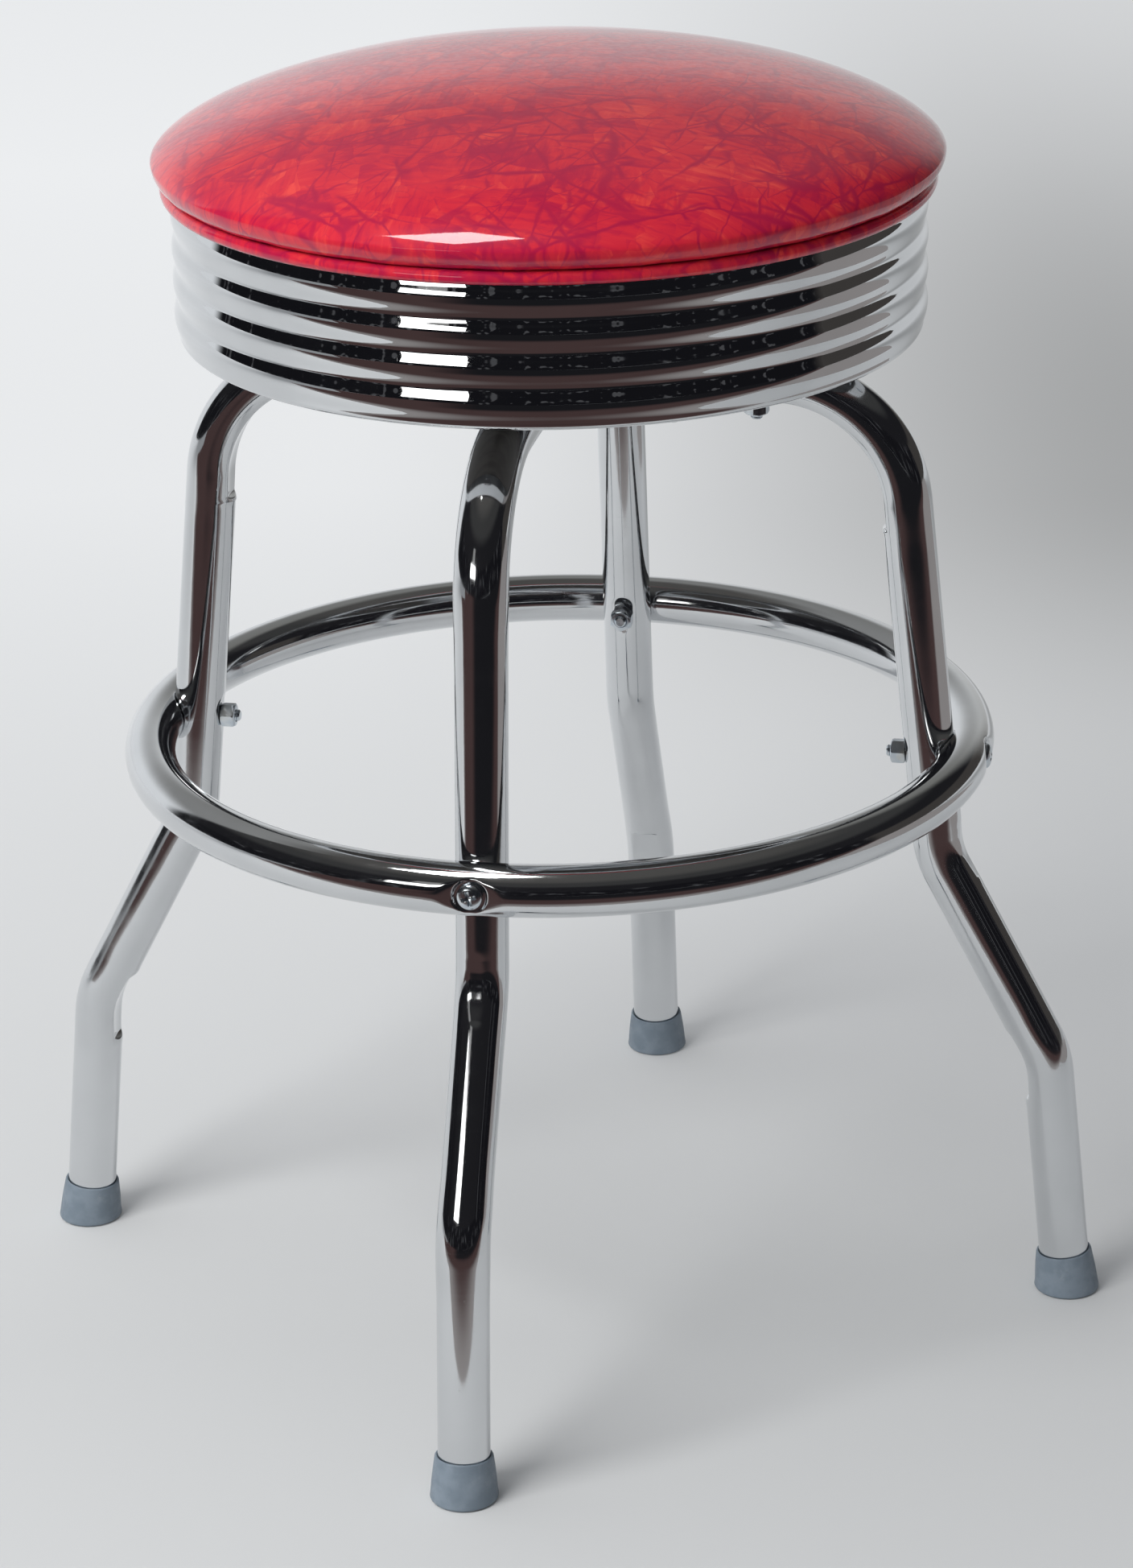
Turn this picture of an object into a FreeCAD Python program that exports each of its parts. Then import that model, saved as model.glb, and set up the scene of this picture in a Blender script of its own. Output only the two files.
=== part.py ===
import FreeCAD, Part

import math
import os

import Sketcher

# A counter stool: a round padded seat in a ribbed chrome band turns on a ball
# bearing above two bent tube frames, which a round foot ring ties together.
# Millimetres.  The origin is on the floor under the seat's axis, +Z is up,
# and the four legs stand along +X, -X, +Y and -Y.

# Driving dimensions: alias and value.  Heights are measured from the floor.
DIMENSIONS = [
    # leg frames
    ("tube_diameter", 25.4),
    ("tube_wall", 1.5),
    ("frame_height", 483.3),        # centreline of the level top run
    ("top_run", 110.0),             # from the axis to where the top bend starts
    ("top_bend", 66.0),             # bend radii are on the centreline
    ("knee_bend", 52.0),
    ("foot_bend", 52.0),
    ("upper_slope", 84.5),          # angles below the horizontal, degrees
    ("middle_slope", 62.2),
    ("lower_slope", 84.6),
    ("upper_run", 176.0),
    ("middle_run", 100.4),
    ("tube_end_height", 4.0),
    ("lap_half_length", 14.0),      # pressed flat where the two frames cross
    ("lap_wall", 3.0),
    # foot ring
    ("ring_radius", 206.5),
    ("ring_height", 292.0),
    ("ring_wall", 1.3),
    ("saddle_gap", 0.05),
    ("dimple_radius", 8.4),
    ("dimple_depth", 3.6),
    # ring screws and nuts
    ("screw_radius", 3.1),
    ("screw_hole_radius", 3.4),
    ("screw_head_radius", 6.4),
    ("screw_head_height", 3.8),
    ("screw_head_edge", 1.6),
    ("recess_width", 1.5),
    ("recess_length", 7.0),
    ("recess_depth", 2.0),
    ("nut_flats", 11.1),
    ("nut_face_radius", 176.4),     # from the axis to the ring nut's outer face
    ("nut_seat_radius", 6.8),       # flat pressed on the leg under the nut
    ("ring_nut_height", 7.6),
    ("ring_thread_end", 2.1),       # screw beyond its nut
    ("thread_gap", 0.05),
    # rubber foot caps
    ("cap_bottom_radius", 16.5),
    ("cap_top_radius", 14.1),
    ("cap_height", 22.0),
    ("cap_round", 1.8),
    ("cap_spare", 3.0),             # cut off level with the floor
    # swivel
    ("plate_sheet", 2.5),
    ("plate_reach", 122.0),         # from the axis to a corner
    ("plate_corner", 12.0),
    ("plate_bolt_circle", 101.6),
    ("plate_bolt_head_radius", 6.5),
    ("plate_bolt_head_height", 3.2),
    ("plate_nut_height", 5.5),
    ("plate_thread_end", 2.6),
    ("raceway_disc", 46.0),
    ("raceway_slope", 4.0),         # width of the drawn wall around the disc
    ("raceway_land", 2.0),
    ("raceway_rise", 3.5),
    ("raceway_drop", 1.5),
    ("ball_circle", 36.0),
    ("ball_radius", 3.0),
    ("ball_gap", 0.05),
    ("ball_count", 12.0),
    ("cage_inner", 31.5),
    ("cage_outer", 40.5),
    ("cage_sheet", 1.0),
    ("cage_gap", 0.3),
    ("rivet_radius", 5.0),
    ("rivet_gap", 0.06),            # turning in the top plate
    ("rivet_fit", 0.02),            # closed up in the bottom plate
    ("rivet_head_radius", 9.0),
    ("rivet_head_height", 2.0),
    ("rivet_tail_radius", 8.0),
    ("washer_radius", 8.5),
    ("washer_sheet", 0.8),
    ("end_play", 0.05),
    # seat
    ("seat_base", 510.2),           # underside of the seat board
    ("board_radius", 179.8),
    ("board_thickness", 14.0),
    ("board_bore", 12.0),
    ("board_bore_depth", 7.0),
    ("top_screw_circle", 88.0),
    ("plate_hole_gap", 0.2),
    ("wood_screw_radius", 2.1),
    ("wood_screw_length", 12.0),
    ("wood_screw_head", 4.2),
    ("wood_screw_head_height", 2.4),
    ("dome_edge_height", 595.0),    # widest part of the seat
    ("cushion_radius", 192.2),
    ("dome_height", 44.0),
    ("dome_shoulder", 14.0),
    ("dome_underside", 12.0),
    ("groove_height", 585.0),
    ("cover_sheet", 1.0),
    ("skirt_radius", 181.0),
    ("hem_inner_radius", 160.0),
    ("hem_sheet", 0.9),
    ("hem_gap", 0.1),
    ("hem_corner", 2.0),
    ("foam_gap", 0.2),
    ("lip_bottom", 578.1),
    ("lip_height", 6.7),
    ("lip_radius", 188.4),
    ("lip_shoulder", 3.0),
    ("lip_bow", 3.75),
    # ribbed band
    ("band_sheet", 0.8),
    ("band_bottom", 508.2),
    ("rib_groove_radius", 182.2),
    ("rib_pitch", 16.6),
    ("rib_depth", 2.0),
    ("first_groove", 528.1),
    ("band_corner", 3.2),
    ("flange_inner", 168.0),
    ("band_screw_circle", 174.0),
    ("band_screw_radius", 1.6),
    ("band_hole_gap", 0.1),
    ("band_screw_length", 11.0),
    ("band_screw_head", 3.2),
    ("band_screw_head_height", 1.8),
    ("staple_circle", 164.0),
    ("staple_width", 10.0),
    ("staple_wire", 0.6),
    ("staple_leg", 6.0),
]

SQRT_HALF = 0.70710678
HEX_CORNER = 0.57735027         # centre to corner, over the distance across flats
CUT_MARGIN = 1.0                # how far a cutting shape passes the surface
SMALLEST_LENGTH = 1e-6
SMALLEST_VOLUME = 1e-3
ON_THE_FLOOR = 0.01
RIB_COUNT = 4
LEG_COUNT = 4
BAND_SCREW_COUNT = 6
STAPLE_COUNT = 16
QUARTER_TURNS = [(1, 0), (0, 1), (-1, 0), (0, -1)]

document = FreeCAD.newDocument("counter_stool")
sheet = document.addObject("Spreadsheet::Sheet", "dims")
for row, (alias, value) in enumerate(DIMENSIONS, start=1):
    sheet.set("A%d" % row, alias.replace("_", " "))
    sheet.set("B%d" % row, str(value))
    sheet.setAlias("B%d" % row, alias)
document.recompute()


class Size:
    """A length or angle with its value now and the formula that drives it."""

    def __init__(self, value, text):
        self.value = value
        self.text = text

    def __add__(self, other):
        other = as_size(other)
        return Size(self.value + other.value, "(%s + %s)" % (self.text, other.text))

    def __sub__(self, other):
        other = as_size(other)
        return Size(self.value - other.value, "(%s - %s)" % (self.text, other.text))

    def __mul__(self, other):
        other = as_size(other)
        return Size(self.value * other.value, "(%s * %s)" % (self.text, other.text))

    def __truediv__(self, other):
        other = as_size(other)
        return Size(self.value / other.value, "(%s / %s)" % (self.text, other.text))

    def __neg__(self):
        return Size(-self.value, "(-1 * %s)" % self.text)


def as_size(number):
    return number if isinstance(number, Size) else Size(float(number), repr(float(number)))


def trig(name, angle):
    value = getattr(math, name)(math.radians(angle.value))
    return Size(value, "%s(%s * 1 deg)" % (name, angle.text))


class Sizes:
    """Every cell of the sheet, as an attribute."""

    def __init__(self):
        for alias, value in DIMENSIONS:
            setattr(self, alias, Size(value, "dims." + alias))


d = Sizes()


def cap_radius(half_width, rise):
    """Radius of the arc with that half width and rise."""
    return (half_width * half_width + rise * rise) / (rise * 2)


# Worked out from the driving dimensions.
tube_radius = d.tube_diameter / 2
lap_inner_radius = tube_radius - d.lap_wall
top_tangent = d.top_bend * trig("tan", d.upper_slope / 2)
knee_tangent = d.knee_bend * trig("tan", (d.upper_slope - d.middle_slope) / 2)
foot_tangent = d.foot_bend * trig("tan", (d.lower_slope - d.middle_slope) / 2)
top_corner_x = d.top_run + top_tangent
upper_length = top_tangent + d.upper_run + knee_tangent
knee_x = top_corner_x + upper_length * trig("cos", d.upper_slope)
knee_z = d.frame_height - upper_length * trig("sin", d.upper_slope)
middle_length = knee_tangent + d.middle_run + foot_tangent
foot_corner_x = knee_x + middle_length * trig("cos", d.middle_slope)
foot_corner_z = knee_z - middle_length * trig("sin", d.middle_slope)
foot_x = foot_corner_x + foot_corner_z / trig("tan", d.lower_slope)

frame_top = d.frame_height + tube_radius
frame_bottom = d.frame_height - tube_radius
ring_outside = d.ring_radius + tube_radius
dimple_floor = ring_outside - d.dimple_depth
screw_inner_end = d.nut_face_radius - d.ring_nut_height - d.ring_thread_end

top_plate_bottom = d.seat_base - d.plate_sheet
lower_race = frame_top + d.raceway_rise + d.plate_sheet
upper_race = d.seat_base - d.plate_sheet - d.raceway_drop
ball_height = (lower_race + upper_race) / 2
rivet_shoulder = upper_race + d.plate_sheet + d.end_play + d.washer_sheet
rivet_hole = d.rivet_radius + d.rivet_gap

board_top = d.seat_base + d.board_thickness
dome_top = d.dome_edge_height + d.dome_height
shoulder_x = d.cushion_radius - d.dome_shoulder
crown_radius = (shoulder_x * shoulder_x + d.dome_height * d.dome_height
                - d.dome_shoulder * d.dome_shoulder) / ((d.dome_height - d.dome_shoulder) * 2)
hem_top = d.seat_base - d.hem_gap
hem_bottom = hem_top - d.hem_sheet


# ---------------------------------------------------------------- sketch tools

def origin_part(body, role):
    return next(part for part in body.Origin.OriginFeatures if part.Role == role)


def new_body(name):
    body = document.addObject("PartDesign::Body", name)
    body.Label = name
    body.AllowCompound = True
    return body


def new_sketch(body, plane, name, offset=None):
    """A sketch on one of the body's origin planes, moved along its normal."""
    sketch = body.newObject("Sketcher::SketchObject", body.Name + "_" + name)
    sketch.AttachmentSupport = [(origin_part(body, plane), "")]
    sketch.MapMode = "FlatFace"
    if offset is not None:
        sketch.AttachmentOffset = FreeCAD.Placement(FreeCAD.Vector(0, 0, offset.value), FreeCAD.Rotation())
        sketch.setExpression("AttachmentOffset.Base.z", offset.text)
    document.recompute()
    return sketch


def drive(sketch, kind, geometry, size):
    """Add a dimension and bind it to its formula."""
    value = size.value
    text = size.text
    if kind == "Angle":
        value = math.radians(value)
        text = "%s * 1 deg" % text
    index = sketch.addConstraint(Sketcher.Constraint(kind, *geometry, value))
    sketch.setExpression("Constraints[%d]" % index, text)


def place_point(sketch, geometry, end, x, y):
    """Hold a point at (x, y) from the sketch's origin."""
    for kind, axis, size in (("DistanceX", -2, as_size(x)), ("DistanceY", -1, as_size(y))):
        if abs(size.value) < SMALLEST_LENGTH:
            sketch.addConstraint(Sketcher.Constraint("PointOnObject", geometry, end, axis))
        else:
            drive(sketch, kind, (-1, 1, geometry, end), size)


def bowed_edge(start, end, radius):
    """An arc from start to end, bulging to the right of the way it runs."""
    middle = (start + end) * 0.5
    half = (end - start) * 0.5
    outward = FreeCAD.Vector(half.y, -half.x, 0).normalize()
    centre = middle - outward * math.sqrt(radius * radius - half.Length * half.Length)
    first = math.atan2(start.y - centre.y, start.x - centre.x)
    last = math.atan2(end.y - centre.y, end.x - centre.x)
    return Part.ArcOfCircle(Part.Circle(centre, FreeCAD.Vector(0, 0, 1), radius), first, last)


def outline(sketch, corners):
    """A closed outline.  A corner is (x, y) or (x, y, bow), where bow is the
    radius of the arc to the next corner: positive arcs bulge to the right of
    the way the outline runs, negative ones to the left."""
    corners = [tuple(map(as_size, corner)) for corner in corners]
    points = [FreeCAD.Vector(corner[0].value, corner[1].value, 0) for corner in corners]
    edges = []
    for number, corner in enumerate(corners):
        start = points[number]
        end = points[(number + 1) % len(points)]
        bow = corner[2] if len(corner) > 2 else None
        if bow is None:
            index = sketch.addGeometry(Part.LineSegment(start, end), False)
            edges.append((index, 1, 2))
        elif bow.value > 0:
            index = sketch.addGeometry(bowed_edge(start, end, bow.value), False)
            edges.append((index, 1, 2))
        else:
            index = sketch.addGeometry(bowed_edge(end, start, -bow.value), False)
            edges.append((index, 2, 1))
    for number, (index, first, last) in enumerate(edges):
        following, following_first, _ = edges[(number + 1) % len(edges)]
        sketch.addConstraint(Sketcher.Constraint("Coincident", index, last, following, following_first))
    for (index, first, last), corner in zip(edges, corners):
        place_point(sketch, index, first, corner[0], corner[1])
        if len(corner) > 2:
            radius = corner[2] if corner[2].value > 0 else -corner[2]
            drive(sketch, "Radius", (index,), radius)


def circle(sketch, x, y, radius):
    x = as_size(x)
    y = as_size(y)
    radius = as_size(radius)
    centre = FreeCAD.Vector(x.value, y.value, 0)
    index = sketch.addGeometry(Part.Circle(centre, FreeCAD.Vector(0, 0, 1), radius.value), False)
    drive(sketch, "Radius", (index,), radius)
    place_point(sketch, index, 3, x, y)


def rectangle(sketch, low_x, low_y, high_x, high_y):
    outline(sketch, [(low_x, low_y), (high_x, low_y), (high_x, high_y), (low_x, high_y)])


# --------------------------------------------------------------- feature tools

def volume(body):
    document.recompute()
    return body.Shape.Volume


def must_change(body, before, name):
    if abs(volume(body) - before) < SMALLEST_VOLUME:
        raise RuntimeError("%s changed nothing in %s" % (name, body.Name))


def revolve(body, sketch, kind="Revolution", axis=None):
    feature = body.newObject("PartDesign::" + kind, sketch.Name + "_" + kind.lower())
    feature.Profile = sketch
    feature.ReferenceAxis = axis or (origin_part(body, "Z_Axis"), [""])
    feature.Angle = 360
    feature.Refine = False
    document.recompute()


def pad(body, sketch, length, both_ways=False):
    feature = body.newObject("PartDesign::Pad", sketch.Name + "_pad")
    feature.Profile = sketch
    feature.Length = length.value
    feature.setExpression("Length", length.text)
    feature.Midplane = both_ways
    feature.Refine = False
    document.recompute()


def pocket(body, sketch, length=None, reverse=False, both_ways=False):
    """Cut to a depth, or right through both ways when there is none."""
    before = volume(body)
    feature = body.newObject("PartDesign::Pocket", sketch.Name + "_pocket")
    feature.Profile = sketch
    if length is None:
        feature.Type = "ThroughAll"
        feature.Midplane = True
    else:
        feature.Length = length.value
        feature.setExpression("Length", length.text)
        feature.Reversed = reverse
        feature.Midplane = both_ways
    feature.Refine = False
    must_change(body, before, feature.Name)
    return feature


def turn_copies(body, count, features=None):
    """Repeat some features, or the whole body so far, evenly around its Z axis."""
    before = volume(body)
    pattern = body.newObject("PartDesign::PolarPattern", body.Name + "_pattern_%d" % len(body.Group))
    if features:
        pattern.Originals = features
    else:
        pattern.TransformMode = "Whole shape"
    pattern.Axis = (origin_part(body, "Z_Axis"), [""])
    pattern.Angle = 360
    pattern.Occurrences = count
    pattern.Refine = False
    body.Tip = pattern
    must_change(body, before, pattern.Name)


# ----------------------------------------------------------------- leg frames

def leg_path(sketch):
    """The centreline of half a frame: four straight runs and three bends."""
    slopes = [as_size(0.0), d.upper_slope, d.middle_slope, d.lower_slope]
    runs = [d.top_run, d.upper_run, d.middle_run, None]
    bends = [d.top_bend, d.knee_bend, d.foot_bend]
    corners = [(0.0, d.frame_height.value), (top_corner_x.value, d.frame_height.value),
               (knee_x.value, knee_z.value), (foot_corner_x.value, foot_corner_z.value)]
    tangents = [0.0, top_tangent.value, knee_tangent.value, foot_tangent.value]
    clockwise = [True, False, True]
    last_length = (foot_corner_z.value - d.tube_end_height.value) / math.sin(math.radians(slopes[3].value))
    lines = []
    ends = []
    for number, (x, z) in enumerate(corners):
        angle = math.radians(slopes[number].value)
        along = FreeCAD.Vector(math.cos(angle), -math.sin(angle), 0)
        start = FreeCAD.Vector(x, z, 0) + along * tangents[number]
        length = runs[number].value if runs[number] else last_length - tangents[number]
        end = start + along * length
        lines.append(sketch.addGeometry(Part.LineSegment(start, end), False))
        ends.append((start, end))
    arcs = []
    for number, bend in enumerate(bends):
        start = ends[number][1]
        end = ends[number + 1][0]
        if clockwise[number]:
            arcs.append((sketch.addGeometry(bowed_edge(end, start, bend.value), False), 2, 1))
        else:
            arcs.append((sketch.addGeometry(bowed_edge(start, end, bend.value), False), 1, 2))
    for number, (arc, first, last) in enumerate(arcs):
        sketch.addConstraint(Sketcher.Constraint("Tangent", lines[number], 2, arc, first))
        sketch.addConstraint(Sketcher.Constraint("Tangent", arc, last, lines[number + 1], 1))
        drive(sketch, "Radius", (arc,), bends[number])
    sketch.addConstraint(Sketcher.Constraint("Horizontal", lines[0]))
    place_point(sketch, lines[0], 1, 0, d.frame_height)
    for number in (0, 1, 2):
        drive(sketch, "Distance", (lines[number],), runs[number])
    for number in (1, 2, 3):
        drive(sketch, "Angle", (lines[0], 1, lines[number], 1), -slopes[number])
    drive(sketch, "DistanceY", (-1, 1, lines[3], 2), d.tube_end_height)


def leg_frame(name, lap_above):
    """One frame: a tube bent down into a leg at each end.  Where the two
    frames cross, each keeps only the half of its tube above or below."""
    body = new_body(name)
    path = new_sketch(body, "XZ_Plane", "path")
    leg_path(path)
    section = new_sketch(body, "YZ_Plane", "section")
    circle(section, 0, d.frame_height, tube_radius)
    circle(section, 0, d.frame_height, tube_radius - d.tube_wall)
    document.recompute()
    tube = body.newObject("PartDesign::AdditivePipe", name + "_tube")
    tube.Profile = section
    tube.Spine = path
    tube.Mode = "Frenet"
    body.Tip = tube
    before = volume(body)
    mirror = body.newObject("PartDesign::Mirrored", name + "_mirror")
    mirror.Originals = [tube]
    mirror.MirrorPlane = (origin_part(body, "YZ_Plane"), [""])
    body.Tip = mirror
    must_change(body, before, mirror.Name)

    pressed = new_sketch(body, "YZ_Plane", "pressed")
    circle(pressed, 0, d.frame_height, tube_radius)
    circle(pressed, 0, d.frame_height, lap_inner_radius)
    pad(body, pressed, d.lap_half_length * 2, both_ways=True)
    lap = new_sketch(body, "XZ_Plane", "lap")
    low = frame_bottom - CUT_MARGIN if lap_above else d.frame_height
    high = d.frame_height if lap_above else frame_top + CUT_MARGIN
    rectangle(lap, -d.lap_half_length, low, d.lap_half_length, high)
    pocket(body, lap)

    bolts = new_sketch(body, "XY_Plane", "bolt_holes")
    circle(bolts, d.plate_bolt_circle, 0, d.screw_hole_radius)
    circle(bolts, -d.plate_bolt_circle, 0, d.screw_hole_radius)
    pocket(body, bolts)
    screws = new_sketch(body, "YZ_Plane", "screw_holes")
    circle(screws, 0, d.ring_height, d.screw_hole_radius)
    pocket(body, screws)
    seats = new_sketch(body, "YZ_Plane", "nut_seats")
    circle(seats, 0, d.ring_height, d.nut_seat_radius)
    pocket(body, seats, d.nut_face_radius * 2, both_ways=True)
    return body


# ------------------------------------------------------------------ foot ring

def cylinder(name, radius, height):
    solid = document.addObject("Part::Cylinder", name)
    solid.setExpression("Radius", as_size(radius).text)
    solid.setExpression("Height", as_size(height).text)
    return solid


def boolean(kind, name, *shapes):
    feature = document.addObject("Part::" + kind, name)
    if kind == "MultiFuse":
        feature.Shapes = list(shapes)
    else:
        feature.Base, feature.Tool = shapes
    return feature


def torus(name, circle_radius, section_radius, height):
    solid = document.addObject("Part::Torus", name)
    solid.setExpression("Radius1", circle_radius.text)
    solid.setExpression("Radius2", section_radius.text)
    solid.setExpression("Placement.Base.z", height.text)
    return solid


def four_cylinders(name, radius, length, start, height, dip):
    """Four cylinders, one over each leg, that begin at a distance from the
    axis and a height, and run outward and down by the angle dip."""
    solids = []
    for number, (along_x, along_y) in enumerate(QUARTER_TURNS):
        solid = cylinder("%s_%d" % (name, number), radius, length)
        turn = FreeCAD.Rotation(FreeCAD.Vector(-along_y, along_x, 0), 90 + dip.value)
        solid.Placement = FreeCAD.Placement(FreeCAD.Vector(0, 0, 0), turn)
        solid.setExpression("Placement.Rotation.Angle", "(90 + %s) * 1 deg" % dip.text)
        solid.setExpression("Placement.Base.x", (start * along_x).text)
        solid.setExpression("Placement.Base.y", (start * along_y).text)
        solid.setExpression("Placement.Base.z", height.text)
        solids.append(solid)
    return solids


def leg_cylinders(name, radius):
    """Four cylinders along the upper runs of the legs."""
    return four_cylinders(name, radius, upper_length, top_corner_x, d.frame_height, d.upper_slope)


def radial_cylinders(name, radius, start, length):
    """Four cylinders pointing outward at the height of the foot ring."""
    return four_cylinders(name, radius, length, start, d.ring_height, as_size(0))


def foot_ring():
    """A closed ring of tube.  Its inner side is pressed in to a saddle around
    each leg, and its outer side is dimpled flat under each screw head."""
    outside = torus("ring_outside", d.ring_radius, tube_radius, d.ring_height)
    inside = torus("ring_inside", d.ring_radius, tube_radius - d.ring_wall, d.ring_height)
    tube = boolean("Cut", "ring_tube", outside, inside)
    saddle_radius = tube_radius + d.saddle_gap
    saddle_walls = leg_cylinders("saddle_wall", saddle_radius + d.ring_wall)
    dimple_walls = radial_cylinders("dimple_wall", d.dimple_radius + d.ring_wall,
                                    dimple_floor - d.ring_wall, d.tube_diameter)
    walls = boolean("MultiFuse", "pressed_walls", *saddle_walls, *dimple_walls)
    limit = torus("ring_limit", d.ring_radius, tube_radius, d.ring_height)
    pressed = boolean("Common", "pressed_walls_in_ring", limit, walls)
    whole = boolean("Fuse", "ring_with_walls", tube, pressed)
    saddles = leg_cylinders("saddle", saddle_radius)
    dimples = radial_cylinders("dimple", d.dimple_radius, dimple_floor, d.tube_diameter)
    holes = radial_cylinders("ring_hole", d.screw_hole_radius, d.nut_face_radius, d.tube_diameter * 2)
    cuts = boolean("MultiFuse", "ring_cuts", *saddles, *dimples, *holes)
    ring = boolean("Cut", "foot_ring", whole, cuts)
    ring.Label = "foot_ring"
    return ring


# -------------------------------------------------------------- ring fasteners

def ring_screws():
    """Pan head screws with a cross recess, pointing at the axis."""
    body = new_body("ring_screws")
    profile = new_sketch(body, "XZ_Plane", "profile")
    middle = d.ring_height
    head_end = dimple_floor + d.screw_head_height
    outline(profile, [
        (screw_inner_end, middle),
        (head_end, middle, cap_radius(d.screw_head_radius, d.screw_head_height - d.screw_head_edge)),
        (dimple_floor + d.screw_head_edge, middle + d.screw_head_radius),
        (dimple_floor, middle + d.screw_head_radius),
        (dimple_floor, middle + d.screw_radius),
        (screw_inner_end, middle + d.screw_radius),
    ])
    revolve(body, profile, axis=(profile, ["Edge1"]))
    recess = new_sketch(body, "YZ_Plane", "recess", head_end)
    wide = d.recess_width / 2
    long = d.recess_length / 2
    outline(recess, [
        (-long, middle - wide), (-wide, middle - wide), (-wide, middle - long), (wide, middle - long),
        (wide, middle - wide), (long, middle - wide), (long, middle + wide), (wide, middle + wide),
        (wide, middle + long), (-wide, middle + long), (-wide, middle + wide), (-long, middle + wide),
    ])
    pocket(body, recess, d.recess_depth)
    turn_copies(body, LEG_COUNT)
    return body


def hexagon(sketch, x, y, flats):
    corner = flats * HEX_CORNER
    outline(sketch, [
        (x + corner, y), (x + corner / 2, y + flats / 2), (x - corner / 2, y + flats / 2),
        (x - corner, y), (x - corner / 2, y - flats / 2), (x + corner / 2, y - flats / 2),
    ])


def ring_nuts():
    body = new_body("ring_nuts")
    section = new_sketch(body, "YZ_Plane", "section", d.nut_face_radius - d.ring_nut_height)
    hexagon(section, as_size(0), d.ring_height, d.nut_flats)
    circle(section, 0, d.ring_height, d.screw_radius + d.thread_gap)
    pad(body, section, d.ring_nut_height)
    turn_copies(body, LEG_COUNT)
    return body


def plate_bolts():
    """Round head bolts that hold the swivel's bottom plate to the frames."""
    body = new_body("plate_bolts")
    profile = new_sketch(body, "XZ_Plane", "profile")
    middle = d.plate_bolt_circle
    seat = frame_top + d.plate_sheet
    low = frame_bottom - d.plate_nut_height - d.plate_thread_end
    outline(profile, [
        (middle, low),
        (middle + d.screw_radius, low),
        (middle + d.screw_radius, seat),
        (middle + d.plate_bolt_head_radius, seat,
         cap_radius(d.plate_bolt_head_radius, d.plate_bolt_head_height)),
        (middle, seat + d.plate_bolt_head_height),
    ])
    revolve(body, profile, axis=(profile, ["Edge5"]))
    turn_copies(body, LEG_COUNT)
    return body


def plate_nuts():
    body = new_body("plate_nuts")
    section = new_sketch(body, "XY_Plane", "section", frame_bottom - d.plate_nut_height)
    hexagon(section, d.plate_bolt_circle, as_size(0), d.nut_flats)
    circle(section, d.plate_bolt_circle, 0, d.screw_radius + d.thread_gap)
    pad(body, section, d.plate_nut_height)
    turn_copies(body, LEG_COUNT)
    return body


# ------------------------------------------------------------------- foot caps

def foot_cap(name, along_x, along_y):
    """A tapered rubber cup on the tube's end, with its bottom on the floor."""
    whole_height = d.cap_height + d.cap_spare
    outside = document.addObject("Part::Cone", name + "_outside")
    outside.setExpression("Radius1", d.cap_bottom_radius.text)
    outside.setExpression("Radius2", d.cap_top_radius.text)
    outside.setExpression("Height", whole_height.text)
    bore = cylinder(name + "_bore", tube_radius, whole_height)
    tilt = FreeCAD.Rotation(FreeCAD.Vector(-along_y, along_x, 0), d.lower_slope.value - 90)
    for solid, rise in ((outside, -d.cap_spare), (bore, d.tube_end_height)):
        solid.Placement = FreeCAD.Placement(FreeCAD.Vector(0, 0, 0), tilt)
        solid.setExpression("Placement.Rotation.Angle", "(%s - 90) * 1 deg" % d.lower_slope.text)
        inward = rise / trig("tan", d.lower_slope)
        solid.setExpression("Placement.Base.x", ((foot_x - inward) * along_x).text)
        solid.setExpression("Placement.Base.y", ((foot_x - inward) * along_y).text)
        solid.setExpression("Placement.Base.z", rise.text)
    cup = boolean("Cut", name + "_cup", outside, bore)
    floor = document.addObject("Part::Box", name + "_floor")
    floor_size = d.cap_bottom_radius * 4
    for side in ("Length", "Width", "Height"):
        floor.setExpression(side, floor_size.text)
    floor.setExpression("Placement.Base.x", (foot_x * along_x - floor_size / 2).text)
    floor.setExpression("Placement.Base.y", (foot_x * along_y - floor_size / 2).text)
    floor.setExpression("Placement.Base.z", (-floor_size).text)
    level = boolean("Cut", name + "_level", cup, floor)
    document.recompute()
    rounded = document.addObject("Part::Fillet", name)
    rounded.Label = name
    rounded.Base = level
    rounded.Edges = [(number, d.cap_round.value, d.cap_round.value)
                     for number, edge in enumerate(level.Shape.Edges, start=1)
                     if edge.BoundBox.ZMax < ON_THE_FLOOR and edge.Length > d.cap_bottom_radius.value]
    return rounded


# --------------------------------------------------------------------- swivel

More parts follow.
